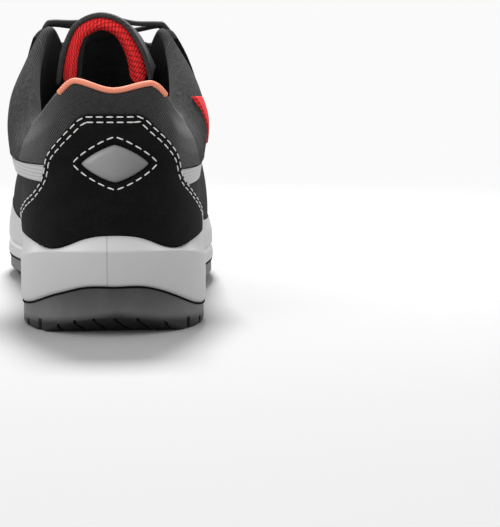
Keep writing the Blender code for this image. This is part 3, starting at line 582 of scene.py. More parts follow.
def lip(turn, angle, off=0.0):
    """The rounded edge of the wall, from its outer face (angle 0) to its inner face (angle pi)."""
    share = np.ones_like(np.asarray(turn, float))
    angle = (share * angle)[..., None]
    radius = thickness(turn, share)[..., None] / 2 + off
    way = normal(turn, share) * np.cos(angle) + upward(turn, share) * np.sin(angle)
    return middle(turn, share) + way * radius


def weld_height(turn):
    """Where the outsole and the midsole meet."""
    return SIDE.at(turn)["weld"] * WELD_HEIGHT


def diamond(grow, count):
    """The lens's outline, a diamond with round tips, grown by a distance. Returns x and z."""
    angle = (np.arange(count) + 0.5) / count * 2 * math.pi
    across, up = np.cos(angle), np.sin(angle)
    x = (LENS_WIDTH / 2 + grow) * np.sign(across) * np.abs(across) ** LENS_POINT
    z = (LENS_HEIGHT / 2 + grow) * np.sign(up) * np.abs(up) ** LENS_POINT
    return x, z + LENS_CENTRE


def rib_length(turn):
    """The length of the wall from foot to edge, at one turn or at each of several."""
    points = middle(np.asarray(turn, float)[..., None], np.linspace(0, 1, 24))
    return np.linalg.norm(np.diff(points, axis=-2), axis=-1).sum(-1)


def through(points, count):
    """Points evenly read from a smooth curve through a few points."""
    points = np.asarray(points)
    reach = np.concatenate([[0], np.cumsum(np.linalg.norm(np.diff(points, axis=0), axis=1))])
    slopes = np.gradient(points, reach, axis=0)
    out = []
    for at in np.linspace(0, reach[-1], count):
        i = min(np.searchsorted(reach, at, side="right") - 1, len(points) - 2)
        step = reach[i + 1] - reach[i]
        t = (at - reach[i]) / step
        near = points[i] * (1 + 2 * t) * (1 - t) ** 2 + points[i + 1] * t**2 * (3 - 2 * t)
        out.append(near + slopes[i] * step * t * (1 - t) ** 2 + slopes[i + 1] * step * t**2 * (t - 1))
    return np.array(out)


def throat_section(row):
    """Points across the tongue's outer face: up one wing, over the crown, and down the other."""
    turn, edge, wing, crown, draw = row
    ends = []
    for side in (turn, 1 - turn):
        low = edge - wing * TONGUE_WIDTH / rib_length(side)
        ends.append([lining(side, share, TONGUE_SLACK) for share in np.linspace(low, edge, 3)])
    inner, outer = np.array(ends)
    centre = (inner[-1] + outer[-1]) / 2
    way = (outer[-1] - inner[-1]) * draw / 2
    top = centre + np.array([0.0, 0.0, crown * TONGUE_WIDTH])
    return np.array([*(inner + way), top, *(outer - way)[::-1]])


def tongue_grid(count=13):
    """The tongue's outer face, row by row from its tucked front end to its free top."""
    rows = [through(throat_section(row), count) for row in TONGUE_ROWS]
    half = TONGUE_WIDTH / 2
    across, below = np.array(TOP_ROWS).T
    back = TONGUE_BACK * LENGTH + below * TONGUE_DROP * TONGUE_LEAN
    top = stack((across + TOP_SHIFT) * half, back, TONGUE_TOP - below * TONGUE_DROP)
    top = through(top, count)
    throat = rows[-1]
    for part in (0.35, 0.70):
        bulge = np.array([0.0, 0.0, 0.02 * TONGUE_WIDTH]) * math.sin(math.pi * part)
        rows.append(throat * (1 - part) + top * part + bulge)
    rows.append(top)
    return np.array(rows)


def sheet_normals(grid):
    """Directions out of a grid of points, up at the tongue's crown."""
    down = np.gradient(grid, axis=0)
    across = np.gradient(grid, axis=1)
    return unit(np.cross(down, across))


def eyelet_places():
    """The turn of each eyelet on the inner side, evenly spaced along the throat's edge."""
    turns = np.linspace(*EYELET_TURNS, 60)
    reach = np.concatenate([[0], np.cumsum(np.linalg.norm(np.diff(crest(turns), axis=0), axis=1))])
    return np.interp(np.linspace(0, reach[-1], EYELET_PAIRS), reach, turns)


def eyelet_share(turn):
    return 1 - EYELET_INSET / rib_length(turn)


def tongue_row(turn):
    """The tongue table's row at any inner turn."""
    table = np.array(TONGUE_ROWS)[::-1]
    return [turn] + [np.interp(turn, table[:, 0], table[:, k]) for k in range(1, len(TONGUE_COLUMNS))]


def instep_normal():
    """The direction out of the instep, along the throat's middle."""
    slope = crest(EYELET_TURNS[1]) - crest(EYELET_TURNS[0])
    return unit(np.array([0.0, slope[2], -slope[1]]))


# Where the wall is sampled, so that its share at any height can be read quickly
TURN_LEVELS = np.linspace(-0.5, 0.5, 801)
SHARE_LEVELS = np.linspace(0.0, 1.0, 81)
HEIGHT_LEVELS = np.linspace(0.0, 0.14, 281)


def wall_shares():
    """The wall share of each height level at each turn level, read from the outer face."""
    heights = face(TURN_LEVELS[:, None], SHARE_LEVELS[None, :])[..., 2]
    heights = np.maximum.accumulate(heights, axis=1) + SHARE_LEVELS * 1e-8
    return np.array([np.interp(HEIGHT_LEVELS, row, SHARE_LEVELS) for row in heights])


SHARES = wall_shares()


def share_at(turn, z):
    """How far up the wall its outer face reaches the height z."""
    turn, z = np.broadcast_arrays(np.asarray(turn, float), np.asarray(z, float))
    wound = np.mod(turn + 0.5, 1.0) - 0.5
    column = np.interp(wound, TURN_LEVELS, np.arange(len(TURN_LEVELS)))
    row = np.interp(z, HEIGHT_LEVELS, np.arange(len(HEIGHT_LEVELS)))
    c = np.minimum(column.astype(int), len(TURN_LEVELS) - 2)
    r = np.minimum(row.astype(int), len(HEIGHT_LEVELS) - 2)
    along, up = column - c, row - r
    low = SHARES[c, r] * (1 - along) + SHARES[c + 1, r] * along
    high = SHARES[c, r + 1] * (1 - along) + SHARES[c + 1, r + 1] * along
    return low * (1 - up) + high * up


def rim_share(turn, above=0.0):
    """How far up the wall the sole's rim reaches."""
    return share_at(turn, SIDE.at(turn)["top"] * RIM_HEIGHT + above)


def behind(x, z):
    """The turn and wall share at which the heel's outer face passes x and z."""
    turn = np.zeros_like(x)
    for _ in range(8):
        here = face(turn, share_at(turn, z))[..., 0]
        slope = (face(turn + 1e-3, share_at(turn + 1e-3, z))[..., 0] - here) / 1e-3
        turn = turn + (x - here) / slope
    return turn, share_at(turn, z)


def slide(turn, share, shift):
    """The turn and wall share that lie a small shift away over the outer face."""
    here = face(turn, share)
    along = (face(turn + 1e-3, share) - here) / 1e-3
    up = (here - face(turn, share - 1e-3)) / 1e-3
    a, b, c = (along * along).sum(-1), (along * up).sum(-1), (up * up).sum(-1)
    p, q = (along * shift).sum(-1), (up * shift).sum(-1)
    size = a * c - b * b
    return turn + (c * p - b * q) / size, share + (a * q - b * p) / size


def finer(grid, at):
    """A grid read at the places along its first axis, on smooth curves through its rows."""
    grid = np.asarray(grid, float)
    slopes = np.gradient(grid, axis=0)
    low = np.minimum(at.astype(int), len(grid) - 2)
    t = (at - low).reshape(-1, *[1] * (grid.ndim - 1))
    near = grid[low] * (1 + 2 * t) * (1 - t) ** 2 + slopes[low] * t * (1 - t) ** 2
    far = grid[low + 1] * t**2 * (3 - 2 * t) + slopes[low + 1] * t**2 * (t - 1)
    return near + far


def closer(count, rim):
    """Steps from 0 to 1, closer together within the share rim of either end."""
    ends = rim * np.array([0.0, 0.10, 0.25, 0.45, 0.70])
    return np.concatenate([ends, np.linspace(rim, 1 - rim, count), 1 - ends[::-1]])


def edge_distance(grid, sides=(True, True, True, True)):
    """How far each point of a grid lies from its first and last row and column, where asked."""
    lines = [grid[0], grid[-1], grid[:, 0], grid[:, -1]]
    border = []
    for line, wanted in zip(lines, sides):
        if wanted:
            border += [line, (line[1:] + line[:-1]) / 2]
    border = np.vstack(border)
    tree = kdtree.KDTree(len(border))
    for number, point in enumerate(border):
        tree.insert(point, number)
    tree.balance()
    flat = [tree.find(point)[2] for point in grid.reshape(-1, 3)]
    return np.array(flat).reshape(grid.shape[:2])


def swell(distance, soft):
    """A quarter round from 0 at an edge to 1 at the distance soft."""
    return np.sqrt(1 - (1 - np.clip(distance / soft, 0.0, 1.0)) ** 2)


def cloth_map(grid):
    """Lengths over a grid of points: across from its middle column, and up from its first row."""
    across = np.linalg.norm(np.diff(grid, axis=1), axis=-1)
    u = np.concatenate([np.zeros((len(grid), 1)), np.cumsum(across, axis=1)], axis=1)
    u = u - u[:, [grid.shape[1] // 2]]
    up = np.linalg.norm(np.diff(grid, axis=0), axis=-1)
    v = np.concatenate([np.zeros((1, grid.shape[1])), np.cumsum(up, axis=0)], axis=0)
    return np.stack([u, v], axis=-1)


class Form:
    """The points, faces, cloth map and finish numbers of one piece, gathered grid by grid."""

    def __init__(self):
        self.count = 0
        self.points = []
        self.maps = []
        self.faces = []
        self.marks = []

    def grid(self, points, cloth=None, mark=0, closed=False):
        """Rows of points that run along the turns, each higher up the outer face than the last."""
        rows, columns = points.shape[:2]
        numbers = self.count + np.arange(rows * columns).reshape(rows, columns)
        self.count += rows * columns
        self.points.append(points.reshape(-1, 3))
        self.maps.append((cloth_map(points) if cloth is None else cloth).reshape(-1, 2))
        if closed:
            numbers = np.hstack([numbers, numbers[:, :1]])
        a, b, c, d = numbers[:-1, :-1], numbers[:-1, 1:], numbers[1:, 1:], numbers[1:, :-1]
        faces = np.stack([a, d, c, b], axis=-1)
        self.faces += faces.reshape(-1, 4).tolist()
        self.marks += np.broadcast_to(mark, faces.shape[:2]).reshape(-1).tolist()
        return numbers

    def fan(self, ring, centre, mark=0):
        """Close a ring of point numbers onto one point."""
        self.points.append(np.asarray(centre, float).reshape(1, 3))
        self.maps.append(np.zeros((1, 2)))
        for one, other in zip(ring, np.roll(ring, -1)):
            self.faces.append([int(other), int(one), self.count])
            self.marks.append(mark)
        self.count += 1

    def made(self, name, finishes, nodes=(), slot=None):
        """The finished piece, riding on the shoe in place of the nodes."""
        mesh = bpy.data.meshes.new(name)
        mesh.from_pydata(np.vstack(self.points).tolist(), [], self.faces)
        layer = mesh.uv_layers.new(name="cloth")
        corners = np.empty(len(mesh.loops), dtype=np.int32)
        mesh.loops.foreach_get("vertex_index", corners)
        layer.data.foreach_set("uv", np.vstack(self.maps)[corners].ravel().astype(np.float32))
        mesh.polygons.foreach_set("material_index", np.array(self.marks, dtype=np.int32))
        for finish in finishes:
            mesh.materials.append(finish)
        mesh.shade_smooth()
        mesh.update()
        return seated(bpy.data.objects.new(name, mesh), nodes)


def seated(piece, nodes):
    """Put a piece on the shoe, measured from the back of the heel, in place of the nodes."""
    piece.location = (0.0, -REST_CENTRE, 0.0)
    bpy.context.scene.collection.objects.link(piece)
    bpy.context.view_layer.update()
    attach(piece, "root")
    if nodes:
        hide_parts(*nodes)
    return piece


def sheet(name, finishes, nodes, slot, points, cloth=None, mark=0):
    """A finished piece made of one grid of points."""
    form = Form()
    form.grid(points, cloth, mark)
    return form.made(name, finishes, nodes, slot)


def overlay(turn, share, base, thick, soft, sides=(True, True, True, True)):
    """A grid over the upper's outer face, rounded down to it along its edges."""
    distance = edge_distance(face(turn, share), sides)
    off = base + thick * swell(distance, soft)
    return face(turn, share, off[..., None])


def pillow(grid, away, start, depth, soft, sides):
    """A padded sheet under a grid as one wrapped grid: over it to its last row and back below."""
    half = depth / 2
    centre = grid - away * (start + half)[..., None]
    lift = away * (half * swell(edge_distance(centre, sides), soft))[..., None]
    return np.concatenate([centre + lift, (centre - lift)[::-1]])


def rounded(loops, radius):
    """Loops of points from foot to top with the corner at each inner loop rounded."""
    out = [loops[0]]
    for before, here, after in zip(loops, loops[1:], loops[2:]):
        ends = []
        for other in (before, after):
            way = other - here
            length = np.maximum(np.linalg.norm(way, axis=-1, keepdims=True), 1e-9)
            ends.append(here + way * np.minimum(radius / length, 0.45))
        out += [ends[0], (ends[0] + ends[1]) / 4 + here / 2, ends[1]]
    return out + [loops[-1]]


def ladder(bm, loop):
    """Close a loop of points with a zigzag between its first half and its second."""
    low, high = 0, len(loop) - 1
    while high - low > 1:
        bm.faces.new((loop[low], loop[low + 1], loop[high]))
        low += 1
        if high - low > 1:
            bm.faces.new((loop[low], loop[high - 1], loop[high]))
            high -= 1


def cup(name, loops):
    """A closed mesh through loops of points, filled at both ends."""
    bm = bmesh.new()
    rows = [[bm.verts.new(Vector(point)) for point in loop] for loop in loops]
    for low, high in zip(rows, rows[1:]):
        for k in range(len(low)):
            n = (k + 1) % len(low)
            bm.faces.new((low[k], low[n], high[n], high[k]))
    ladder(bm, rows[0])
    ladder(bm, rows[-1])
    bmesh.ops.recalc_face_normals(bm, faces=bm.faces)
    mesh = bpy.data.meshes.new(name)
    bm.to_mesh(mesh)
    bm.free()
    return mesh


def sweep(points, radius, side, sides, closed=False):
    """A grid of points round a cord, and its cloth map along and round it."""
    before, after = np.roll(points, 1, axis=0), np.roll(points, -1, axis=0)
    if not closed:
        before[0], after[-1] = points[0], points[-1]
    way = unit(after - before)
    across = unit(np.cross(way, side))
    up = np.cross(across, way)
    if closed:
        points, across, up = (np.vstack([part, part[:1]]) for part in (points, across, up))
    angle = 2 * math.pi * np.arange(sides + 1)[None, :, None] / sides
    ring = across[:, None] * np.cos(angle) + up[:, None] * np.sin(angle)
    steps = np.linalg.norm(np.diff(points, axis=0), axis=-1)
    length = np.concatenate([[0.0], np.cumsum(steps)])[:, None]
    around = radius * 2 * math.pi * np.linspace(0.0, 1.0, sides + 1)[None, :]
    cloth = np.stack(np.broadcast_arrays(length, around), axis=-1)
    return points[:, None] + ring * radius, cloth


class Value:
    """A number, colour or vector socket of a finish. Sums on numbers add their nodes."""

    def __init__(self, finish, socket):
        self.finish = finish
        self.socket = socket

    def math(self, operation, *others):
        return self.finish.sum(operation, self, *others)

    def __add__(self, other):
        return self.math("ADD", other)

    __radd__ = __add__

    def __sub__(self, other):
        return self.math("SUBTRACT", other)

    def __rsub__(self, other):
        return self.finish.sum("SUBTRACT", other, self)

    def __mul__(self, other):
        return self.math("MULTIPLY", other)

    __rmul__ = __mul__

    def __truediv__(self, other):
        return self.math("DIVIDE", other)

    def __abs__(self):
        return self.math("ABSOLUTE")

    def wave(self, pitch):
        """A sine wave of a pitch in metres, from -1 to 1."""
        return (self * (2 * math.pi / pitch)).math("SINE")

    def part(self):
        """What is left over a whole number."""
        return self.math("FRACT")

    def whole(self):
        return self.math("FLOOR")

    def ease(self, start, end):
        """0 up to start, 1 from end on, and smooth between them."""
        inputs = {"Value": self, "From Min": start, "From Max": end}
        return self.finish.node("ShaderNodeMapRange", {"interpolation_type": "SMOOTHSTEP"}, inputs)


class Finish:
    """One material. What is the same all over it is set on the shader's own sockets."""

    def __init__(self, name, plain):
        self.material = bpy.data.materials.new(name)
        self.material.use_nodes = True
        self.tree = self.material.node_tree
        self.shader = self.tree.nodes["Principled BSDF"]
        for socket, value in plain.items():
            self.shader.inputs[socket].default_value = value

    def node(self, kind, settings=None, inputs=None, output=0):
        made = self.tree.nodes.new(kind)
        for key, value in (settings or {}).items():
            setattr(made, key, value)
        for key, value in (inputs or {}).items():
            self.feed(made.inputs[key], value)
        return Value(self, made.outputs[output])

    def feed(self, socket, value):
        if isinstance(value, Value):
            self.tree.links.new(value.socket, socket)
        else:
            socket.default_value = value

    def sum(self, operation, *values):
        return self.node("ShaderNodeMath", {"operation": operation}, dict(enumerate(values)))

    def split(self, vector):
        """The three numbers of a vector."""
        first = self.node("ShaderNodeSeparateXYZ", inputs={0: vector})
        return [Value(self, socket) for socket in first.socket.node.outputs]

    def cloth(self):
        """The two lengths of the piece's cloth map, in metres."""
        return self.split(self.node("ShaderNodeUVMap", {"uv_map": "cloth"}))[:2]

    def place(self):
        """The place on the shoe, in metres from the back of the heel."""
        return self.node("ShaderNodeTexCoord", output=3)

    def facing_up(self):
        """How far the surface faces up: 1 up, 0 level, -1 down."""
        return self.split(self.node("ShaderNodeNewGeometry", output=3))[2]

    def noise(self, size, detail=2.0, rough=0.55, stretch=(1.0, 1.0, 1.0)):
        """Soft cloudy variation with features of a size in metres."""
        stretched = {0: self.place(), 1: stretch}
        vector = self.node("ShaderNodeVectorMath", {"operation": "MULTIPLY"}, stretched)
        inputs = {"Vector": vector, "Scale": 1 / size, "Detail": detail, "Roughness": rough}
        return self.node("ShaderNodeTexNoise", None, inputs)

    def mix(self, share, low, high):
        """A colour between two colours."""
        inputs = {0: share, 6: opaque(low), 7: opaque(high)}
        return self.node("ShaderNodeMix", {"data_type": "RGBA", "clamp_factor": True}, inputs, output=2)

    def colour(self, value):
        self.feed(self.shader.inputs["Base Color"], value)

    def rough(self, value):
        self.feed(self.shader.inputs["Roughness"], value)

    def relief(self, height, depth, strength):
        """Raise the surface by a height of 0 to 1 times a depth in metres."""
        inputs = {"Height": height, "Distance": depth, "Strength": strength}
        self.feed(self.shader.inputs["Normal"], self.node("ShaderNodeBump", None, inputs))


def opaque(colour):
    return colour if isinstance(colour, Value) else (*colour, 1.0)


def shade(colour, amount):
    """A colour made darker or lighter by a factor."""
    return tuple(min(channel * amount, 1.0) for channel in colour)


def picked(name, amount=1.0):
    """One of the user's colours, made darker or lighter by a factor."""
    return shade(getattr(bpy.context.scene.sneaker_colours, name), amount)


def once(maker):
    """Make a finish the first time that it is asked for, and find it again after that."""
    def found(*words):
        name = " ".join([maker.__name__.replace("_", " "), *words])
        return bpy.data.materials.get(name) or maker(name, *words)
    return found


def sizes():
    return bpy.context.scene.sneaker_sizes


@once
def black_suede(name):
    tone = picked("suede")
    finish = Finish(name, {"Roughness": 0.95, "Specular IOR Level": 0.1, "Sheen Weight": 0.03,
                           "Sheen Roughness": 0.5, "Sheen Tint": (0.8, 0.8, 0.85, 1.0)})
    nap = finish.noise(0.0009, 4.0, 0.7)
    brushed = finish.noise(0.012, 3.0, 0.6, (1.0, 1.0, 1.6))
    share = nap.ease(0.35, 0.7) * 0.55 + brushed.ease(0.4, 0.7) * 0.45
    finish.colour(finish.mix(share, shade(tone, 0.6), shade(tone, 1.7)))
    finish.relief(nap + brushed * 0.4, 0.00035, 0.7)
    return finish.material


@once
def quarter_mesh(name, part="quarter"):
    """Knitted spacer cloth: small open cells in a heathered grey yarn. Its edge part is a lighter copy, a
    painted highlight on the heel tab's rim.
    """
    # The edge part is 2.4 times lighter: a painted highlight, not a different cloth.
    tone = picked("cloth", {"quarter": 1.0, "panel": 0.6, "edge": 2.4}[part])
    finish = Finish(name, {"Roughness": 0.9, "Specular IOR Level": 0.12, "Sheen Weight": 0.035,
                           "Sheen Roughness": 0.6})
    u, v = finish.cloth()
    pitch = sizes().mesh_pitch
    cells = u.wave(pitch) * v.wave(pitch)
    ribs = (u + v * 0.55).wave(pitch * 0.62)
    heather = finish.noise(0.0016, 4.0, 0.7, (1.0, 1.0, 0.45))
    cloud = finish.noise(0.02, 2.0, 0.5)
    share = heather.ease(0.38, 0.64) * 0.7 + (cells * 0.5 + 0.5) * 0.2 + cloud * 0.15
    finish.colour(finish.mix(share, shade(tone, 0.3), shade(tone, 1.55)))
    finish.relief(cells * 0.35 + ribs * 0.25 + heather * 0.8, 0.00035, 0.8)
    return finish.material


@once
def tab_twill(name):
    """The heel tab's fine diagonal twill."""
    tone = picked("cloth", 0.81)
    finish = Finish(name, {"Roughness": 0.88, "Specular IOR Level": 0.25, "Sheen Weight": 0.12,
                           "Sheen Roughness": 0.6})
    u, v = finish.cloth()
    wales = (u + v * 0.75).wave(sizes().twill_pitch) * 0.5 + 0.5
    picks = (v - u * 0.3).wave(sizes().twill_pitch * 0.8) * 0.5 + 0.5
    heather = finish.noise(0.0012, 3.0, 0.7)
    share = wales * 0.45 + picks * 0.15 + heather.ease(0.36, 0.66) * 0.5
    finish.colour(finish.mix(share, shade(tone, 0.3), shade(tone, 1.5)))
    finish.relief(wales + picks * 0.3 + heather * 0.4, 0.0003, 0.8)
    return finish.material


@once
def collar_lining(name):
    """The collar's black lining, ribbed along the rim."""
    finish = Finish(name, {"Roughness": 0.9, "Specular IOR Level": 0.2, "Sheen Weight": 0.06})
    _, v = finish.cloth()
    ribs = v.wave(0.0013) * 0.5 + 0.5
    seam = 1 - abs((v * (1 / 0.011)).part() - 0.5).ease(0.035, 0.06)
    grain = finish.noise(0.0012, 3.0)
    share = ribs * 0.35 + grain * 0.3 + seam * 0.5
    finish.colour(finish.mix(share, (0.003, 0.003, 0.0033), (0.024, 0.024, 0.0255)))
    finish.relief(ribs + seam * 0.6 + grain * 0.5, 0.0003, 0.8)
    return finish.material


@once
def red_knit(name):
    """Coarse knit: slanted oval loops in offset rows."""
    tone = picked("red")
    finish = Finish(name, {"Roughness": 0.8, "Specular IOR Level": 0.25, "Sheen Weight": 0.05,
                           "Sheen Roughness": 0.5, "Sheen Tint": (1.0, 0.2, 0.2, 1.0)})
    u, v = finish.cloth()
    loop = sizes().knit_loop
    row = (u / (loop * 0.85)).whole()
    across = (u / (loop * 0.85)).part() - 0.5
    along = (v / loop + row * 0.5).part() - 0.5
    slanted = along + across * 0.55
    far = (slanted * slanted * 2.6 + across * across * 3.4)
    height = 1 - far.ease(0.20, 1.05)
    fuzz = finish.noise(0.0007, 3.0, 0.7)
    lit = height * 0.8 + fuzz.ease(0.3, 0.7) * 0.3
    light = (min(tone[0] * 1.36, 1.0), tone[1] * 2.0, tone[2] * 2.0)
    finish.colour(finish.mix(lit, shade(tone, 0.42), light))
    finish.relief(height + fuzz * 0.25, 0.0007, 0.9)
    return finish.material


@once
def tongue_cloth(name, part="outer"):
    """The tongue's grey cloth outside, and its black mesh lining within."""
    tone = picked("cloth", 2.3) if part == "outer" else (0.012, 0.012, 0.013)
    finish = Finish(name, {"Roughness": 0.92, "Specular IOR Level": 0.2, "Sheen Weight": 0.1})
    u, v = finish.cloth()
    cells = u.wave(0.0014) * v.wave(0.0014) * 0.5 + 0.5
    heather = finish.noise(0.0015, 4.0, 0.7)
    share = cells * 0.45 + heather.ease(0.3, 0.7) * 0.5
    finish.colour(finish.mix(share, shade(tone, 0.45), shade(tone, 1.4)))
    finish.relief(cells + heather * 0.6, 0.0003, 0.8)
    return finish.material


@once
def midsole_foam(name):
    """Pale moulded foam with its mould line at the back, soft scuffs, and painted light that pales the
    surfaces facing up.
    """
    tone = picked("midsole")
    finish = Finish(name, {"Roughness": 0.55, "Specular IOR Level": 0.4})
    x, y, z = finish.split(finish.place())
    grain = finish.noise(0.0006, 3.0, 0.6)
    cloud = finish.noise(0.025, 3.0, 0.55)
    line = (1 - abs(x - PARTING).ease(0.00008, 0.0003)) * (1 - y.ease(0.010, 0.014))
    line = line * z.ease(0.019, 0.021)
    # Painted light: surfaces that face up, such as the rim's bevel, are made paler as if lit from above.
    bevel = finish.facing_up().ease(0.15, 0.65)
    base = finish.mix(grain * 0.35 + cloud * 0.65, shade(tone, 0.90), shade(tone, 1.06))
    painted_top_light = finish.mix(bevel * 0.85, base, shade(tone, 1.55))
    finish.colour(finish.mix(line * 0.45, painted_top_light, shade(tone, 0.45)))
    finish.rough(grain * 0.2 + 0.42)
    finish.relief(grain * 0.25 + cloud * 0.1 - line, 0.00025, 0.6)
    return finish.material


@once
def outsole_rubber(name):
    """Dark moulded rubber, fine grained, paler towards the floor, with a painted highlight on the heel's
    sides and painted shade underneath.
    """
    tone = picked("outsole")
    finish = Finish(name, {"Roughness": 0.6, "Specular IOR Level": 0.4})
    x, y, z = finish.split(finish.place())
    grain = finish.noise(0.0007, 4.0, 0.6)
    cloud = finish.noise(0.018, 3.0, 0.6)
    # The rubber is made paler towards the floor.
    near_floor = 1 - z.ease(0.005, 0.021)
    # Painted shade: faces that turn down, and the lowest few millimetres of the sides, are made near black
    # as if in shadow.
    low = (z + abs(x) * 0.16 - 0.0055).ease(0.0022, 0.0060)
    under = 1 - finish.facing_up().ease(-0.7, -0.3) * low
    # Painted highlight: the heel's sides near the floor are made paler as if lit from the side.
    corner = abs(x).ease(0.020, 0.036) * (1 - y.ease(-0.01, 0.03)) * near_floor
    share = near_floor * 0.65 + corner * 0.5 + grain * 0.12 + cloud.ease(0.35, 0.75) * 0.2
    side = finish.mix(share, shade(tone, 0.42), shade(tone, 2.1))
    finish.colour(finish.mix(under, side, shade(tone, 0.14)))
    finish.rough(grain * 0.25 + 0.48)
    finish.relief(grain + cloud * 0.3, 0.0002, 0.6)
    return finish.material


@once
def lens_resin(name):
    """The heel's smooth satin lens, with painted light that makes it paler at its inner and upper side."""
    tone = picked("lens")
    finish = Finish(name, {"Roughness": 0.38, "Specular IOR Level": 0.5, "Coat Weight": 0.25,
                           "Coat Roughness": 0.3})
    x, _, z = finish.split(finish.place())
    # Painted light: paler towards the inner and upper side and darker towards the outer side, as if lit from
    # there.
    slope = (x - (z - LENS_CENTRE) * 0.35).ease(-LENS_WIDTH * 0.45, LENS_WIDTH * 0.5)
    grain = finish.noise(0.0005, 2.0)
    finish.colour(finish.mix(slope * 0.85 + grain * 0.15, shade(tone, 1.45), shade(tone, 0.72)))
    finish.rough(grain * 0.2 + 0.28)
    finish.relief(grain, 0.00005, 0.4)
    return finish.material


@once
def reflective_strip(name):
    """Bright reflective strip with fine lines along it."""
    tone = picked("strip")
    finish = Finish(name, {"Roughness": 0.45, "Specular IOR Level": 0.5})
    _, v = finish.cloth()
    lines = v.wave(0.0017) * 0.5 + 0.5
    beads = finish.noise(0.0004, 2.0)
    finish.colour(finish.mix(lines * 0.75 + beads * 0.25, shade(tone, 0.72), shade(tone, 1.12)))
    finish.rough(beads * 0.2 + 0.35)
    finish.relief(lines + beads * 0.3, 0.00015, 0.7)
    return finish.material


@once
def orange_cord(name):
    """The piping's orange cloth, wound on a slant."""
    tone = picked("piping")
    finish = Finish(name, {"Roughness": 0.7, "Specular IOR Level": 0.3, "Sheen Weight": 0.15,
                           "Sheen Tint": (1.0, 0.6, 0.4, 1.0)})
    u, v = finish.cloth()
    twist = (u + v * 1.2).wave(0.0013) * 0.5 + 0.5
    fuzz = finish.noise(0.0006, 3.0)
    finish.colour(finish.mix(twist * 0.6 + fuzz * 0.4, shade(tone, 0.62), shade(tone, 1.25)))
    finish.relief(twist + fuzz * 0.4, 0.0002, 0.8)
    return finish.material


@once
def lace_braid(name):
    """The lace's round black braid."""
    finish = Finish(name, {"Roughness": 0.85, "Specular IOR Level": 0.25, "Sheen Weight": 0.12})
    u, v = finish.cloth()
    one = (u + v).wave(0.0016)
    other = (u - v).wave(0.0016)
    braid = one * other * 0.5 + 0.5
    fuzz = finish.noise(0.0006, 3.0)
    finish.colour(finish.mix(braid * 0.7 + fuzz * 0.3, (0.006, 0.006, 0.007), (0.045, 0.045, 0.048)))
    finish.relief(braid + fuzz * 0.3, 0.0003, 0.9)
    return finish.material


@once
def pale_thread(name):
    """Twisted pale sewing thread."""
    tone = picked("thread")
    finish = Finish(name, {"Roughness": 0.7, "Specular IOR Level": 0.3})
    u, v = finish.cloth()
    twist = (u + v * 0.8).wave(0.0007) * 0.5 + 0.5
    fuzz = finish.noise(0.001, 2.0)
    finish.colour(finish.mix(twist * 0.5 + fuzz * 0.5, shade(tone, 0.6), shade(tone, 1.1)))
    finish.relief(twist, 0.0001, 0.6)
    return finish.material


@once
def black_metal(name):
    """The eyelets' black lacquered metal, a little worn."""
    finish = Finish(name, {"Roughness": 0.35, "Metallic": 0.6, "Specular IOR Level": 0.5})
    wear = finish.noise(0.0015, 3.0)
    finish.colour(finish.mix(wear.ease(0.55, 0.75), (0.02, 0.02, 0.021), (0.10, 0.10, 0.10)))
    finish.rough(wear * 0.3 + 0.25)
    return finish.material


@once
def dark_hole(name):
    """Painted shade: the dark disc inside an eyelet, and the dark line in the joint of the sole."""
    finish = Finish(name, {"Roughness": 1.0, "Specular IOR Level": 0.05})
    finish.colour(finish.mix(finish.noise(0.001), (0.002, 0.002, 0.002), (0.005, 0.005, 0.005)))
    return finish.material


@once
def insole_cloth(name):
    """The insole's brushed black cover."""
    finish = Finish(name, {"Roughness": 0.95, "Specular IOR Level": 0.2, "Sheen Weight": 0.1})
    u, v = finish.cloth()
    weave = u.wave(0.0015) * v.wave(0.0015) * 0.5 + 0.5
    nap = finish.noise(0.001, 4.0)
    finish.colour(finish.mix(weave * 0.4 + nap * 0.6, (0.012, 0.012, 0.013), (0.05, 0.05, 0.052)))
    finish.relief(weave + nap, 0.0002, 0.6)
    return finish.material


@once
def studio_floor(name):
    """Plain pale floor that fades into the studio's light away from the shoe."""
    finish = Finish(name, {"Roughness": 0.9, "Specular IOR Level": 0.1})
    x, y, _ = finish.split(finish.place())
    reach = (x * x + (y - 0.1) * (y - 0.1)).math("SQRT")
    finish.colour(finish.mix(finish.noise(0.3), (0.365, 0.365, 0.365), (0.372, 0.372, 0.372)))
    clear = finish.node("ShaderNodeBsdfTransparent")
    solid = Value(finish, finish.shader.outputs[0])
    blend = finish.node("ShaderNodeMixShader", None, {0: reach.ease(0.20, 0.80), 1: solid, 2: clear})
    finish.feed(finish.tree.nodes["Material Output"].inputs["Surface"], blend)
    return finish.material


def hem_height(turn):
    """The height of the quarter's hem above the strips."""
    inner = turn >= 0
    end = np.where(inner, STRIP_ENDS[0], STRIP_ENDS[1] - 1)
    lower = np.where(inner, 0.0, STRIP_LOWER)
    start = np.where(inner, HEM_START, -HEM_START)
    part = np.clip((turn - start) / (end - start), 0.0, 1.35)
    half = STRIP_HEIGHT / 2 * (1 - STRIP_TAPER * np.minimum(part, 1.0))
    return STRIP_CENTRE - lower + STRIP_HEIGHT * STRIP_SWEEP * part**2 + half + HEM_GAP


def hem_swell(turn):
    """How far the quarter's hem stands out at each turn."""
    side = np.abs(turn)
    end = np.where(turn >= 0, STRIP_ENDS[0], 1 - STRIP_ENDS[1])
    return HEM * ease(side, 0.045, 0.060) * (1 - ease(side, end, end + HEM_FADE))


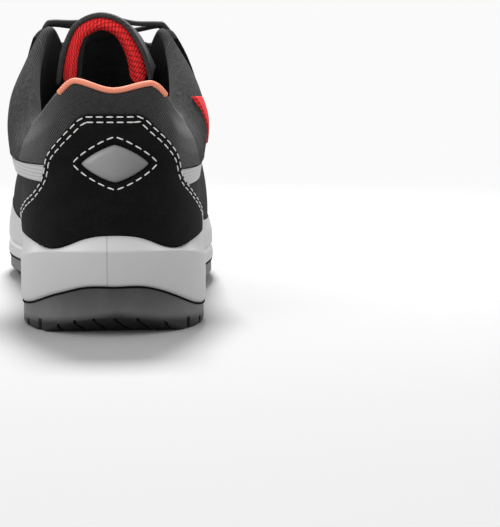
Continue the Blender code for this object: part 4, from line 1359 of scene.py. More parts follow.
def build_upper():
    turn = np.linspace(-0.5, 0.5, 441)
    rim = rim_share(turn)
    hem = np.clip(share_at(turn, hem_height(turn)), rim + 0.1, 0.93)
    ribs = rib_length(turn)
    rise = hem_swell(turn)
    panel = [rim * part for part in (0.0, 0.5, 0.85)]
    panel += [rim + (hem - rim) * part for part in np.linspace(0.0, 1.0, 17)]
    rounding = [hem + step / ribs for step, _ in HEM_STEPS]
    above = [rounding[-1] + (1 - rounding[-1]) * part for part in np.linspace(0.0, 1.0, 41)[1:]]
    rows = [face(turn, share) for share in panel]
    for share, (_, lift) in zip(rounding, HEM_STEPS):
        rows.append(face(turn, share, (lift * rise)[:, None]))
    for share in above:
        rows.append(face(turn, share, (rise * (1 - ease(share, 0.80, 0.96)))[:, None]))
    kinds = [PANEL] * (len(panel) - 1) + [QUARTER] * (len(rounding) + len(above))
    first_lip = len(kinds)
    for angle in np.linspace(0.0, math.pi, 14)[1:-1]:
        rows.append(lip(turn, angle))
        kinds.append(LINING if angle > LINING_ANGLE else QUARTER)
    for share in np.linspace(1.0, 0.0, 30):
        rows.append(lining(turn, np.full_like(turn, share)))
        kinds.append(LINING)
    grid = np.array(rows)
    for foot in (grid[0], grid[-1]):
        foot[:, 2] = floor_height(foot[:, 1]) + GAP
    mark = np.repeat(np.array(kinds)[:, None], len(turn) - 1, axis=1)
    centre = np.abs((turn[1:] + turn[:-1]) / 2)
    mark = np.where((mark == QUARTER) & (centre < TAB_TURN)[None, :], TAB, mark)
    # Painted highlight: the upper part of the rounded rim over the heel tab gets the lighter edge copy of
    # the cloth.
    mark[first_lip + 1:first_lip + 3, (centre > TAB_RIM_HIGHLIGHT[0]) & (centre < TAB_RIM_HIGHLIGHT[1])] = EDGE
    finishes = [quarter_mesh(), quarter_mesh("panel"), tab_twill(), collar_lining(), quarter_mesh("edge")]
    piece = sheet("upper_cloth", finishes, ["upper"], "upper", grid, mark=mark)


def counter_line():
    """The counter's upper edge from its outer foot to its inner foot: turns and how far up."""
    table = np.array(COUNTER_ROWS)
    reach = np.array([0.80, COUNTER_HEIGHT - RIM_HEIGHT])
    outer = np.stack([table[:, 2] - 1, table[:, 0]], axis=1)
    inner = np.stack([table[::-1, 1], table[::-1, 0]], axis=1)
    line = through(np.vstack([outer, inner]) * reach, 500) / reach
    line[:, 0] = np.maximum.accumulate(line[:, 0])
    return line[:, 0], np.clip(line[:, 1], 0.0, 1.0)


def counter_place(turn, up):
    """The wall share at a turn and at a share of the counter's height."""
    low = SIDE.at(turn)["top"] * RIM_HEIGHT + SEAT
    return share_at(turn, low + (COUNTER_HEIGHT - low) * up)


def diamond_reach(x, z):
    """How far a point lies outside the lens's outline."""
    power = 2 / LENS_POINT
    across = np.abs(x) / (LENS_WIDTH / 2)
    up = np.abs(z - LENS_CENTRE) / (LENS_HEIGHT / 2)
    gauge = np.maximum((across**power + up**power) ** (1 / power), 1e-6)
    return np.hypot(x, z - LENS_CENTRE) * (1 - 1 / gauge)


def build_counter():
    turns, ups = counter_line()
    ends = turns[0] + 1e-4, turns[-1] - 1e-4
    turn = ends[0] + (ends[1] - ends[0]) * closer(290, 0.006)
    top = np.interp(turn, turns, ups)
    steps = closer(84, 0.022)
    turn_grid = np.broadcast_to(turn, (len(steps), len(turn)))
    share = counter_place(turn_grid, steps[:, None] * top[None, :])
    points = face(turn_grid, share)
    recess = 1 - ease(diamond_reach(points[..., 0], points[..., 2]), *LENS_BORDER)
    distance = edge_distance(points, (False, True, True, True))
    off = EDGE_LIFT + (SUEDE_TOP - EDGE_LIFT) * swell(distance, COUNTER_SOFT) * (1 - recess)
    points = face(turn_grid, share, off[..., None])
    sheet("counter_suede", [black_suede()], ["heel_counter"], "suede", points)


def build_lens():
    form = Form()
    edge_x, edge_z = diamond(0.0, 96)
    rows = [face(*behind(edge_x, edge_z), 0.0)]
    for size in np.linspace(0.0, 1.0, 15)[:-1]:
        turn, share = behind(edge_x * (1 - size), LENS_CENTRE + (edge_z - LENS_CENTRE) * (1 - size))
        rise = 0.35 + 0.65 * (1 - (1 - min(size * 2.6, 1.0)) ** 2)
        rows.append(face(turn, share, SEAT + LENS_THICKNESS * (rise + 0.16 * size)))
    numbers = form.grid(np.array(rows)[:, ::-1], closed=True)
    turn, share = behind(np.zeros(1), np.full(1, LENS_CENTRE))
    form.fan(numbers[-1, :-1], face(turn, share, SEAT + LENS_THICKNESS * 1.16)[0])
    form.made("lens_dome", [lens_resin()], ["heel_lens"], "lens")


def build_piping():
    turns = np.linspace(PIPING_TURN, -PIPING_TURN, 110)
    ends = ease(np.abs(turns) / PIPING_TURN, 0.70, 1.05)
    proud = GAP + PIPING_RADIUS * (0.75 - 0.9 * ends)
    points = lip(turns, 1.05 - 0.85 * ends, proud[:, None])
    grid, cloth = sweep(points, PIPING_RADIUS * PIPING_SWELL, (0.0, 0.35, 1.0), 14)
    sheet("piping_cord", [orange_cord()], ["collar_piping"], "piping", grid, cloth)


def counter_edge(z, inner):
    """The turn of the counter's front edge at the height z, on the inner or the outer side."""
    turns, ups = counter_line()
    half = len(turns) // 2
    turns, ups = (turns[half:][::-1], ups[half:][::-1]) if inner else (turns[:half], ups[:half])
    low = SIDE.at(0.06)["top"] * RIM_HEIGHT
    return np.interp((z - low) / (COUNTER_HEIGHT - low), ups, turns)


def build_strips():
    for name, end, lower in (
        ("medial", STRIP_ENDS[0], 0.0),
        ("lateral", STRIP_ENDS[1] - 1, STRIP_LOWER),
    ):
        inner = end > 0
        levels = closer(12, 0.10)[:, None]
        parts = closer(110, 0.012)[None, :]
        middle_z = STRIP_CENTRE - lower
        start = counter_edge(middle_z + (levels - 0.5) * STRIP_HEIGHT, inner)
        start = start + (STRIP_BORDER if inner else -STRIP_BORDER)
        half = STRIP_HEIGHT / 2 * (1 - STRIP_TAPER * parts)
        z = middle_z + STRIP_HEIGHT * STRIP_SWEEP * parts**2 + half * (2 * levels - 1)
        turn = start + (end - start) * parts
        if not inner:
            turn, z = turn[:, ::-1], z[:, ::-1]
        points = overlay(turn, share_at(turn, z), -EDGE_LIFT / 2, SEAT + EDGE_LIFT, STRIP_SOFT)
        sheet(f"strip_{name}", [reflective_strip()], [f"side_strip_{name}"], "strip", points)


def build_tag():
    centre = TAG_TURN - 1
    pair = np.array([centre, centre - 0.01])
    feet = face(pair, share_at(pair, TAG_CENTRE))
    step = TAG_WIDTH / np.linalg.norm(feet[1] - feet[0]) * 0.01
    turn = centre + step * (closer(26, 0.10)[None, :] - 0.5)
    z = TAG_CENTRE + TAG_HEIGHT * (closer(40, 0.05)[:, None] - 0.5)
    turn, z = np.broadcast_arrays(turn, z)
    points = overlay(turn, share_at(turn, z), 2 * EDGE_LIFT, SUEDE_TOP - 2 * EDGE_LIFT, TAG_SOFT)
    sheet("tag_folded", [red_knit()], ["side_tag"], "tag", points)


def tongue_rows(at):
    """The tongue's outer face at fine places along it, with its directions and thickness."""
    grid = finer(tongue_grid(), at)
    across = closer(46, 0.05) * (grid.shape[1] - 1)
    grid = np.swapaxes(finer(np.swapaxes(grid, 0, 1), across), 0, 1)
    side = np.abs(across / (across[-1] / 2) - 1)[None, :]
    thin = np.maximum(ease((at / at[-1])[:, None], 0.6, 0.85), side**3)
    thick = TONGUE_THICKNESS + (TONGUE_EDGE - TONGUE_THICKNESS) * thin
    return grid, sheet_normals(grid), side, thick


def free_end(last, first, body, reach):
    """Places along the tongue from first to its last row, closer where the end is rounded."""
    turned = np.cos(np.linspace(math.pi / 2, 0.0, 10))
    return np.concatenate([np.linspace(first, last - reach, body)[:-1], last - reach + reach * turned])


def build_tongue():
    last = len(TONGUE_ROWS) + 2
    sides = (False, True, True, True)
    grid, away, _, thick = tongue_rows(free_end(last, 0.0, 84, 0.25))
    body = pillow(grid, away, 0.0 * thick, thick, thick / 2, sides)
    sheet("tongue_cloth", [tongue_cloth()], ["tongue"], "tongue", body)
    at = free_end(last, last - 4.0, 40, 0.8)
    grid, away, side, thick = tongue_rows(at)
    level = (at / last)[:, None]
    depth = LINING_PAD * ease(level, 0.55, 0.95) * (0.55 + 0.45 * side**2) + OVERLAY + KNIT_PAD
    roll = pillow(grid, away, thick * 0.9, depth, depth / 2, sides)
    across = (grid[-1, 1:, 0] + grid[-1, :-1, 0]) / 2
    across = across / np.abs(across).max()
    red = RED_ROWS - 10 * ease(-across, 0.25, 0.8) - 2 * (1 - ease(np.abs(across), 0.0, 0.3))
    mark = (np.arange(len(roll) - 1)[:, None] > len(at) + red[None, :]).astype(int)
    finishes = [red_knit(), tongue_cloth("inner")]
    piece = sheet("tongue_roll", finishes, ["tongue_lining"], "lining", roll, mark=mark)


def eyestay_grid():
    table = np.array(EYESTAY_ROWS)
    ends = table[0, 0], table[-1, 0]
    turn = ends[0] + (ends[1] - ends[0]) * closer(330, 0.006)
    width = np.interp(turn, table[:, 0], table[:, 1]) * EYESTAY_WIDTH / rib_length(turn)
    levels = closer(22, 0.08)[:, None]
    share = 1 - width[None, :] * (1 - levels)
    return np.broadcast_to(turn, share.shape), share


def build_eyestay():
    points = overlay(*eyestay_grid(), EDGE_LIFT, SUEDE_TOP - EDGE_LIFT, EDGE_SOFT)
    sheet("eyestay_suede", [black_suede()], ["eyestay"], "suede", points)


def build_eyelets():
    angle = np.linspace(0.0, 2 * math.pi, 36, endpoint=False)[None, :, None]
    turned = np.linspace(-0.4, math.pi + 0.9, 11)[:, None, None]
    finishes = [black_metal(), dark_hole()]
    for k, inner in enumerate(eyelet_places(), 1):
        for side, turn in (("medial", inner), ("lateral", 1 - inner)):
            share = eyelet_share(turn)
            out = normal(turn, share)
            up = upward(turn, share)
            centre = face(turn, share, SUEDE_TOP)
            way = up * np.cos(angle) + np.cross(out, up) * np.sin(angle)
            ring = centre + way * (EYELET_RADIUS + EYELET_TUBE * EYELET_SWELL[0] * np.cos(turned))
            ring = ring + out * EYELET_TUBE * EYELET_SWELL[1] * np.sin(turned)
            form = Form()
            numbers = form.grid(ring, closed=True)
            # Painted shade: a near black disc fills the eyelet's hole.
            form.fan(numbers[-1, :-1], centre + out * 0.00005, mark=1)
            form.made(f"eyelet_ring_{side}_{k}", finishes, [f"eyelet_{side}_{k}"], "eyelet")


def cap_grid():
    parts = closer(150, 0.012)
    turn = CAP_TURN + (1 - 2 * CAP_TURN) * parts
    low = rim_share(turn, SEAT)
    high = low + 0.03 + (TOE_CAP_REACH - low) * np.sin(math.pi * np.clip(parts, 0, 1)) ** 0.55
    levels = closer(50, 0.04)[:, None]
    share = low + (high - low) * levels
    return np.broadcast_to(turn, share.shape), share


def build_cap():
    sides = (False, True, True, True)
    points = overlay(*cap_grid(), EDGE_LIFT, SUEDE_TOP - EDGE_LIFT, EDGE_SOFT, sides)
    sheet("toe_cap_suede", [black_suede()], ["toe_cap"], "suede", points)


def strand_stop(turn, way):
    """Points from the throat's edge into one eyelet and back out. way is -1 on the run to the toe."""
    lift = SUEDE_TOP + LACE_RADIUS
    share = eyelet_share(turn)
    along = face(turn + 1e-3, share) - face(turn - 1e-3, share)
    step = STRAND / np.linalg.norm(along) * 2e-3 * way * (-1 if turn < 0.5 else 1)
    sides = [turn - step, turn + step]
    edges = [[lip(np.array(side), angle, lift) for angle in (1.15, 0.45)] for side in sides]
    bends = [face(side, share + EYELET_RADIUS * 0.75 / rib_length(turn), lift) for side in sides]
    dives = [face(side, share, -0.0004) for side in sides]
    hidden = face(turn, share, -0.0014)
    return [*edges[0], bends[0], dives[0], hidden, dives[1], bends[1], *edges[1][::-1]]


def lace_span(start, end, turns, over):
    """Points over the tongue between two of the throat's edges, raised where the runs cross."""
    inner = [min(turn, 1 - turn) for turn in turns]
    up = instep_normal()
    points = []
    for part in (0.2, 0.35, 0.5, 0.65, 0.8):
        chord = start + (end - start) * part
        section = through(throat_section(tongue_row(inner[0] + (inner[1] - inner[0]) * part)), 33)
        under = section[np.argmin(np.abs(section[:, 0] - chord[0]))]
        rise = max((under - chord) @ up + LACE_RADIUS + 2 * GAP, 0.0)
        points.append(chord + up * (rise + over * (1 - abs(2 * part - 1))))
    return points


def build_lace():
    inner = list(eyelet_places())
    outer = [1 - turn for turn in inner]
    pairs = range(EYELET_PAIRS)
    up = [inner[k] if k % 2 == 0 else outer[k] for k in pairs]
    down = [outer[k] if k % 2 == 0 else inner[k] for k in pairs]
    turns = up + down[::-1]
    stops = [strand_stop(turn, 1 if k < EYELET_PAIRS else -1) for k, turn in enumerate(turns)]
    points = []
    for k, stop in enumerate(stops):
        after = (k + 1) % len(stops)
        over = 2 * LACE_RADIUS + 2 * GAP if k < EYELET_PAIRS - 1 else 0.0
        points += stop + lace_span(stop[-1], stops[after][0], (turns[k], turns[after]), over)
    points = np.array(points)
    looped = np.vstack([points[-2:], points, points[:3]])
    path = finer(looped, np.linspace(2, len(points) + 2, len(points) * 6, endpoint=False))
    grid, cloth = sweep(path, LACE_RADIUS, instep_normal(), 10, closed=True)
    sheet("lace_braid", [lace_braid()], ["lace"], "lace", grid, cloth)


def fine_turns():
    """Turns round the sole, mirrored about the heel and the toe, with none on either."""
    half = (np.arange(SOLE_POINTS // 2) + 0.5) / SOLE_POINTS
    return np.concatenate([half, 1 - half[::-1]])


def build_midsole():
    turn = fine_turns()
    side = SIDE.at(turn)
    low = weld_height(turn) + GAP / 2
    high = side["lip"] * RIM_HEIGHT
    x, y = outline(turn, OUTSOLE_INSET)
    loops = [stack(x, y, low)]
    for up, inset in STEP_ROWS:
        x, y = outline(turn, inset * np.clip(side["step"], 0.0, 1.0))
        loops.append(stack(x, y, low + (high - low) * up))
    rim = rim_share(turn)
    for part, off in ((1.0, 2 * GAP), (0.96, GAP), (0.5, GAP)):
        loops.append(face(turn, rim * part, off))
    loops = rounded(loops, MOULD_SOFT)
    floor = face(turn, rim * 0.0, GAP)
    floor[:, 2] = floor_height(floor[:, 1])
    dressed(cup("midsole_cup", loops + [floor]), midsole_foam(), "midsole")


def dressed(mesh, finish, node):
    """Finish a closed sole piece and put it on the shoe."""
    mesh.materials.append(finish)
    mesh.shade_smooth()
    mesh.set_sharp_from_angle(angle=math.radians(50))
    seated(bpy.data.objects.new(mesh.name, mesh), [node])


def channel(bm, points, width, depth):
    """A square groove along the sole's underside, cut upwards to a depth."""
    rings = []
    for index, point in enumerate(points):
        before = points[max(index - 1, 0)]
        after = points[min(index + 1, len(points) - 1)]
        way = Vector((after[0] - before[0], after[1] - before[1])).normalized() * width / 2
        roof = float(ground_height(np.asarray(max(point[1], 0.0)))) + depth
        ring = []
        for sign, z in ((-1, -0.02), (1, -0.02), (0.8, roof), (-0.8, roof)):
            ring.append(bm.verts.new((point[0] - way.y * sign, point[1] + way.x * sign, z)))
        rings.append(ring)
    for low, high in zip(rings, rings[1:]):
        for k in range(4):
            n = (k + 1) % 4
            bm.faces.new((low[k], low[n], high[n], high[k]))
    bm.faces.new(rings[0][::-1])
    bm.faces.new(rings[-1])


def tread():
    """The tread's grooves: chevrons across, and slanted cuts over the heel's bevel."""
    bm = bmesh.new()
    reach = BALL_WIDTH * 0.7
    slant = BALL_WIDTH * 0.09
    heel_count = int((REST_CENTRE - HEEL_BEVEL_LENGTH) / TREAD_PITCH)
    for k in range(heel_count + int((LENGTH * TREAD_END - REST_CENTRE) / TREAD_PITCH)):
        y = REST_CENTRE + TREAD_PITCH * (k + 0.5 - heel_count)
        if TREAD_ARCH[0] * LENGTH < y < TREAD_ARCH[1] * LENGTH:
            continue
        ends = y - 2 * slant
        channel(bm, [(-reach, ends), (0.0, y), (reach, ends)], TREAD_GROOVE, TREAD_DEPTH)
    for k in range(-HEEL_CUTS, HEEL_CUTS + 1):
        x = k * HEEL_WIDTH * HEEL_CUT_PITCH
        line = [(x - 0.004, -0.010), (x, 0.004), (x + 0.005, HEEL_BEVEL_LENGTH * 0.95)]
        channel(bm, line, HEEL_CUT_WIDTH, HEEL_CUT_DEPTH)
    bmesh.ops.recalc_face_normals(bm, faces=bm.faces)
    mesh = bpy.data.meshes.new("tread_cutter")
    bm.to_mesh(mesh)
    bm.free()
    cutter = bpy.data.objects.new("tread_cutter", mesh)
    bpy.context.scene.collection.objects.link(cutter)
    return cutter


def build_outsole():
    turn = fine_turns()
    bevel = SIDE.at(turn)["bevel"] * OUTSOLE_BEVEL
    x, y = outline(turn, OUTSOLE_INSET)
    loops = [stack(x, y, weld_height(turn) - GAP / 2), stack(x, y, ground_height(y) + bevel)]
    x, y = outline(turn, OUTSOLE_INSET + bevel)
    loops.append(stack(x, y, ground_height(y)))
    top = loops[0] - np.array([0.0, 0.0, MOULD_SOFT])
    loops = rounded([loops[0], top, *loops[1:]], RUBBER_SOFT)
    whole = bpy.data.objects.new("outsole_blank", cup("outsole_blank", loops))
    bpy.context.scene.collection.objects.link(whole)
    cutter = tread()
    cut = whole.modifiers.new("Tread", "BOOLEAN")
    cut.operation = "DIFFERENCE"
    cut.object = cutter
    bpy.context.view_layer.update()
    shaped = whole.evaluated_get(bpy.context.evaluated_depsgraph_get())
    mesh = bpy.data.meshes.new_from_object(shaped)
    bpy.data.objects.remove(whole)
    bpy.data.objects.remove(cutter)
    mesh.materials.clear()
    mesh.name = "outsole_rubber"
    dressed(mesh, outsole_rubber(), "outsole")


def build_sole_seam():
    # Painted shadow: a thin near black tube along the joint under the midsole's overhang.
    turn = fine_turns()
    x, y = outline(turn, OUTSOLE_INSET * 0.8)
    points = stack(x, y, weld_height(turn) - SHADOW_LINE_RADIUS * 0.5)
    grid, cloth = sweep(points, SHADOW_LINE_RADIUS, (0.0, 0.0, 1.0), 8, closed=True)
    sheet("sole_seam", [dark_hole()], (), "outsole", grid, cloth)


def build_insole():
    turn = fine_turns()
    x, y = outline(turn, SOLE_EDGE + WALL + INSOLE_SLACK)
    width = HALF_HEEL * 0.5
    spine_y = np.clip(y, y.min() + width, y.max() - width)
    spine_x = np.interp(spine_y, *midline(x, y))
    rows = []
    for part, rise in INSOLE_RINGS:
        px, py = x + (spine_x - x) * part, y + (spine_y - y) * part
        dish = INSOLE_DISH * ease(part, 0.0, 0.35)
        rows.append(stack(px, py, floor_height(py) + GAP + INSOLE * rise - dish))
    form = Form()
    grid = np.array(rows)[:, ::-1]
    numbers = form.grid(grid, grid[..., :2].copy(), closed=True)
    form.fan(numbers[-1, :-1], grid[-1].mean(axis=0))
    form.made("insole_cover", [insole_cloth()], ["insole"], "insole")


def midline(x, y):
    """The middle between the two sides of the outline, from heel to toe."""
    half = len(x) // 2
    levels = np.linspace(y.min(), y.max(), 60)
    inner = np.interp(levels, np.maximum.accumulate(y[:half]), x[:half])
    outer = np.interp(levels, np.maximum.accumulate(y[half:][::-1]), x[half:][::-1])
    return levels, (inner + outer) / 2


def seam(turn, share, inset, off):
    """A line of places a distance inside an edge, with the directions out of it."""
    points = face(turn, share)
    way = unit(np.gradient(points, axis=0))
    inward = np.cross(normal(turn, share), way) * inset
    turn, share = slide(turn, share, inward)
    return face(turn, share, off), normal(turn, share)


def stitches(form, line):
    """Add pale stitches along a line of places and directions."""
    points, out = line
    steps = np.linalg.norm(np.diff(points, axis=0), axis=-1)
    reach = np.concatenate([[0.0], np.cumsum(steps)])
    count = int(reach[-1] / sizes().stitch_pitch)
    at = (np.arange(count) + 0.5) / count * reach[-1]

    def read(table, places):
        return np.stack([np.interp(places, reach, table[:, k]) for k in range(3)], axis=-1)

    place = read(points, at)
    way = unit(read(points, at + 5e-4) - read(points, at - 5e-4))
    up = unit(read(out, at))
    across = np.cross(way, up)
    angle = np.linspace(0.0, 2 * math.pi, 7)
    around = angle[None, :, None]
    radius = sizes().stitch_radius
    ring = across[:, None] * np.cos(around) + up[:, None] * np.sin(around)
    rows = []
    for far, size, lift in STITCH_RINGS:
        centre = place + way * (far * sizes().stitch_length) + up * (lift * radius)
        rows.append(centre[:, None] + ring * (radius * size))
    cloth = np.stack(np.meshgrid(angle * radius, np.arange(len(rows)) * 0.0006), axis=-1)
    for k in range(count):
        form.grid(np.array([row[k] for row in rows]), cloth)


def build_stitching():
    form = Form()
    top = SUEDE_TOP
    turns, ups = counter_line()
    line = np.linspace(0.012, 0.988, 400)
    reach = np.linspace(0.0, 1.0, len(turns))
    turn, up = np.interp(line, reach, turns), np.interp(line, reach, ups)
    share = counter_place(turn, up)
    for inset in COUNTER_ROWS_IN:
        stitches(form, seam(turn, share, inset, top))
    x, z = diamond(LENS_ROW_OUT, 120)
    x, z = np.append(x, x[0]), np.append(z, z[0])
    turn, share = behind(x, z)
    stitches(form, (face(turn, share, top), normal(turn, share)))
    grid_turn, grid_share = eyestay_grid()
    for inset in EYESTAY_ROWS_IN:
        stitches(form, seam(grid_turn[0, 8:-8], grid_share[0, 8:-8], inset, top))
    stitches(form, seam(grid_turn[-1, 40:-40], grid_share[-1, 40:-40], THROAT_ROW_IN, top))
    cap_turn, cap_share = cap_grid()
    for inset in CAP_ROWS_IN:
        stitches(form, seam(cap_turn[-1, 4:-4], cap_share[-1, 4:-4], inset, top))
    form.made("pale_stitching", [pale_thread()], (), "suede")


def lamp(name, place, energy, size):
    """A soft lamp at a place, pointed at the shoe."""
    light = bpy.data.lights.new(name, "AREA")
    light.energy = energy
    light.size = size
    made = bpy.data.objects.new(name, light)
    made.location = place
    made.rotation_euler = (Vector(AIM) - Vector(place)).to_track_quat("-Z", "Y").to_euler()
    bpy.context.scene.collection.objects.link(made)


def build_stage():
    scene = bpy.context.scene
    radii = np.concatenate([np.linspace(0.0005, 0.4, 12), np.linspace(0.4, FLOOR_REACH, 12)[1:]])
    angle = np.linspace(0.0, 2 * math.pi, 72, endpoint=False)
    points = stack(radii[:, None] * np.cos(angle), radii[:, None] * np.sin(angle), np.zeros((1, 1)))
    form = Form()
    numbers = form.grid(points[::-1], points[::-1][..., :2], closed=True)
    form.fan(numbers[-1, :-1], (0.0, 0.0, 0.0))
    mesh = bpy.data.meshes.new("studio_floor")
    mesh.from_pydata(np.vstack(form.points).tolist(), [], form.faces)
    mesh.materials.append(studio_floor())
    floor = bpy.data.objects.new("studio_floor", mesh)
    floor.location = (0.0, 0.0, -FLOOR_DROP)
    scene.collection.objects.link(floor)
    floor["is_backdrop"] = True
    light = sizes()
    world = bpy.data.worlds.new("studio")
    world.use_nodes = True
    backdrop = world.node_tree.nodes["Background"]
    backdrop.inputs["Color"].default_value = (1.0, 1.0, 1.0, 1.0)
    backdrop.inputs["Strength"].default_value = light.surround
    scene.world = world
    lamp("key", KEY_PLACE, light.key, KEY_SIZE)
    lamp("fill", FILL_PLACE, light.key * FILL_SHARE, FILL_SIZE)
    lens = bpy.data.cameras.new("studio_camera")
    lens.lens = CAMERA_LENS
    lens.sensor_width = 36.0
    camera = bpy.data.objects.new("studio_camera", lens)
    camera.location = (0.0, -REST_CENTRE - CAMERA_BACK, CAMERA_HEIGHT)
    camera.rotation_euler = (math.radians(90 - CAMERA_DOWN), 0.0, math.radians(-CAMERA_RIGHT))
    scene.collection.objects.link(camera)
    scene.camera = camera
    scene.view_settings.view_transform = "Standard"


def length(name, about, value, low, high):
    return FloatProperty(name=name, description=about, default=value, min=low, max=high,
                         precision=5, unit="LENGTH")


def colour(name, about, value):
    return FloatVectorProperty(name=name, description=about, default=value, min=0.0, max=1.0,
                               subtype="COLOR")


class SneakerSizes(bpy.types.PropertyGroup):
    """Sizes of the shoe's thread and cloth, and the strength of its light."""

    stitch_pitch: length("Stitch pitch", "From one stitch to the next", 0.0041, 0.002, 0.010)
    stitch_length: length("Stitch length", "Length of the thread seen in one stitch", 0.0030, 0.001, 0.008)
    stitch_radius: length("Thread radius", "Half the thickness of the sewing thread", 0.00030, 0.0001, 0.001)
    mesh_pitch: length("Mesh pitch", "From cell to cell of the quarters' cloth", 0.0014, 0.0005, 0.005)
    twill_pitch: length("Twill pitch", "From wale to wale of the heel tab's cloth", 0.0012, 0.0005, 0.005)
    knit_loop: length("Knit loop", "Length of one loop of the red knit", 0.0021, 0.001, 0.006)
    surround: FloatProperty(name="Surround light", description="Strength of the studio's even light",
                            default=0.955, min=0.0, max=3.0)
    key: FloatProperty(name="Key light", description="Strength of the main lamp",
                       default=36.0, min=0.0, max=100.0, unit="POWER")


class SneakerColours(bpy.types.PropertyGroup):
    """Colours of the shoe's cloth, suede, rubber and thread."""

    suede: colour("Suede", "Heel counter, toe cap and eyestay", (0.0036, 0.0036, 0.0040))
    cloth: colour("Cloth", "Quarters, heel tab and tongue", (0.021, 0.021, 0.022))
    midsole: colour("Midsole", "The pale foam", (0.42, 0.42, 0.42))
    outsole: colour("Outsole", "The dark rubber", (0.060, 0.060, 0.062))
    lens: colour("Lens", "The heel's lens", (0.160, 0.160, 0.164))
    strip: colour("Strip", "The reflective strips", (0.38, 0.38, 0.385))
    piping: colour("Piping", "The cord on the heel tab's rim", (0.82, 0.27, 0.165))
    red: colour("Red knit", "The tongue's roll and the tag", (0.80, 0.016, 0.017))
    thread: colour("Thread", "The pale stitching", (0.74, 0.73, 0.70))


class SNEAKER_OT_Upper(bpy.types.Operator):
    """Make the hollow cloth upper with its hem, heel tab and lined collar."""

    bl_idname = "sneaker.upper"
    bl_label = "Upper"

    def execute(self, context):
        build_upper()
        return {"FINISHED"}


class SNEAKER_OT_Midsole(bpy.types.Operator):
    """Make the stepped foam cup."""

    bl_idname = "sneaker.midsole"
    bl_label = "Midsole"

    def execute(self, context):
        build_midsole()
        return {"FINISHED"}


class SNEAKER_OT_Outsole(bpy.types.Operator):
    """Make the rubber outsole and cut its tread."""

    bl_idname = "sneaker.outsole"
    bl_label = "Outsole"

    def execute(self, context):
        build_outsole()
        return {"FINISHED"}


class SNEAKER_OT_SoleSeam(bpy.types.Operator):
    """Make the painted shadow line in the joint between the outsole and the midsole."""

    bl_idname = "sneaker.sole_seam"
    bl_label = "Sole shadow line"

    def execute(self, context):
        build_sole_seam()
        return {"FINISHED"}


class SNEAKER_OT_Insole(bpy.types.Operator):
    """Make the cloth-covered insole."""

    bl_idname = "sneaker.insole"
    bl_label = "Insole"

    def execute(self, context):
        build_insole()
        return {"FINISHED"}


class SNEAKER_OT_Counter(bpy.types.Operator):
    """Make the suede heel counter with the lens's recess."""

    bl_idname = "sneaker.counter"
    bl_label = "Heel counter"

    def execute(self, context):
        build_counter()
        return {"FINISHED"}


class SNEAKER_OT_Lens(bpy.types.Operator):
    """Make the domed lens in the counter."""

    bl_idname = "sneaker.lens"
    bl_label = "Heel lens"

    def execute(self, context):
        build_lens()
        return {"FINISHED"}


class SNEAKER_OT_Piping(bpy.types.Operator):
    """Make the orange cord on the heel tab's rim."""

    bl_idname = "sneaker.piping"
    bl_label = "Collar piping"

    def execute(self, context):
        build_piping()
        return {"FINISHED"}


class SNEAKER_OT_Strips(bpy.types.Operator):
    """Make the reflective strip on each quarter."""

    bl_idname = "sneaker.strips"
    bl_label = "Side strips"

    def execute(self, context):
        build_strips()
        return {"FINISHED"}


class SNEAKER_OT_Tag(bpy.types.Operator):
    """Make the folded red tag."""

    bl_idname = "sneaker.tag"
    bl_label = "Side tag"

    def execute(self, context):
        build_tag()
        return {"FINISHED"}


class SNEAKER_OT_Tongue(bpy.types.Operator):
    """Make the tongue and the red knit rolled round its top."""

    bl_idname = "sneaker.tongue"
    bl_label = "Tongue"

    def execute(self, context):
        build_tongue()
        return {"FINISHED"}


class SNEAKER_OT_Eyestay(bpy.types.Operator):
    """Make the suede band round the throat."""

    bl_idname = "sneaker.eyestay"
    bl_label = "Eyestay"

    def execute(self, context):
        build_eyestay()
        return {"FINISHED"}


class SNEAKER_OT_Eyelets(bpy.types.Operator):
    """Make the ten metal eyelets."""

    bl_idname = "sneaker.eyelets"
    bl_label = "Eyelets"

    def execute(self, context):
        build_eyelets()
        return {"FINISHED"}


class SNEAKER_OT_ToeCap(bpy.types.Operator):
    """Make the suede overlay over the toe."""

    bl_idname = "sneaker.toe_cap"
    bl_label = "Toe cap"

    def execute(self, context):
        build_cap()
        return {"FINISHED"}


class SNEAKER_OT_Lace(bpy.types.Operator):
    """Run the braided lace through the eyelets."""

    bl_idname = "sneaker.lace"
    bl_label = "Lace"

    def execute(self, context):
        build_lace()
        return {"FINISHED"}


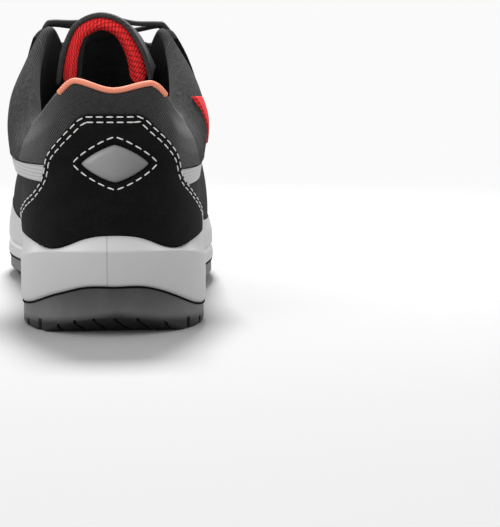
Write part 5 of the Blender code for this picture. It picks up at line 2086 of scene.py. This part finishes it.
class SNEAKER_OT_Stitching(bpy.types.Operator):
    """Sew the counter, lens border, eyestay and toe cap."""

    bl_idname = "sneaker.stitching"
    bl_label = "Stitching"

    def execute(self, context):
        build_stitching()
        return {"FINISHED"}


class SNEAKER_OT_Stage(bpy.types.Operator):
    """Make the floor, the light and the camera."""

    bl_idname = "sneaker.stage"
    bl_label = "Stage"

    def execute(self, context):
        build_stage()
        return {"FINISHED"}


PIECES = (
    SNEAKER_OT_Upper, SNEAKER_OT_Midsole, SNEAKER_OT_Outsole, SNEAKER_OT_SoleSeam, SNEAKER_OT_Insole,
    SNEAKER_OT_Counter, SNEAKER_OT_Lens, SNEAKER_OT_Piping, SNEAKER_OT_Strips, SNEAKER_OT_Tag,
    SNEAKER_OT_Tongue, SNEAKER_OT_Eyestay, SNEAKER_OT_Eyelets, SNEAKER_OT_ToeCap,
    SNEAKER_OT_Lace, SNEAKER_OT_Stitching, SNEAKER_OT_Stage,
)


class SNEAKER_PT_panel(bpy.types.Panel):
    """The shoe's pieces, sizes and colours."""

    bl_idname = "SNEAKER_PT_panel"
    bl_label = "Safety sneaker"
    bl_space_type = "VIEW_3D"
    bl_region_type = "UI"
    bl_category = "Sneaker"

    def draw(self, context):
        column = self.layout.column(align=True)
        for piece in PIECES:
            column.operator(piece.bl_idname)
        for group in (context.scene.sneaker_sizes, context.scene.sneaker_colours):
            box = self.layout.box()
            for name in group.bl_rna.properties.keys():
                if name not in ("rna_type", "name"):
                    box.prop(group, name)


CLASSES = (SneakerSizes, SneakerColours, *PIECES, SNEAKER_PT_panel)


def register():
    for kind in CLASSES:
        bpy.utils.register_class(kind)
    bpy.types.Scene.sneaker_sizes = PointerProperty(type=SneakerSizes)
    bpy.types.Scene.sneaker_colours = PointerProperty(type=SneakerColours)


def unregister():
    del bpy.types.Scene.sneaker_colours
    del bpy.types.Scene.sneaker_sizes
    for kind in reversed(CLASSES):
        bpy.utils.unregister_class(kind)


def main():
    register()
    for piece in PIECES:
        group, name = piece.bl_idname.split(".")
        getattr(getattr(bpy.ops, group), name)()
    box = [[list(corner) for corner in found] for found in (CAD_BOX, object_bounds())]


if __name__ == "__main__":
    main()
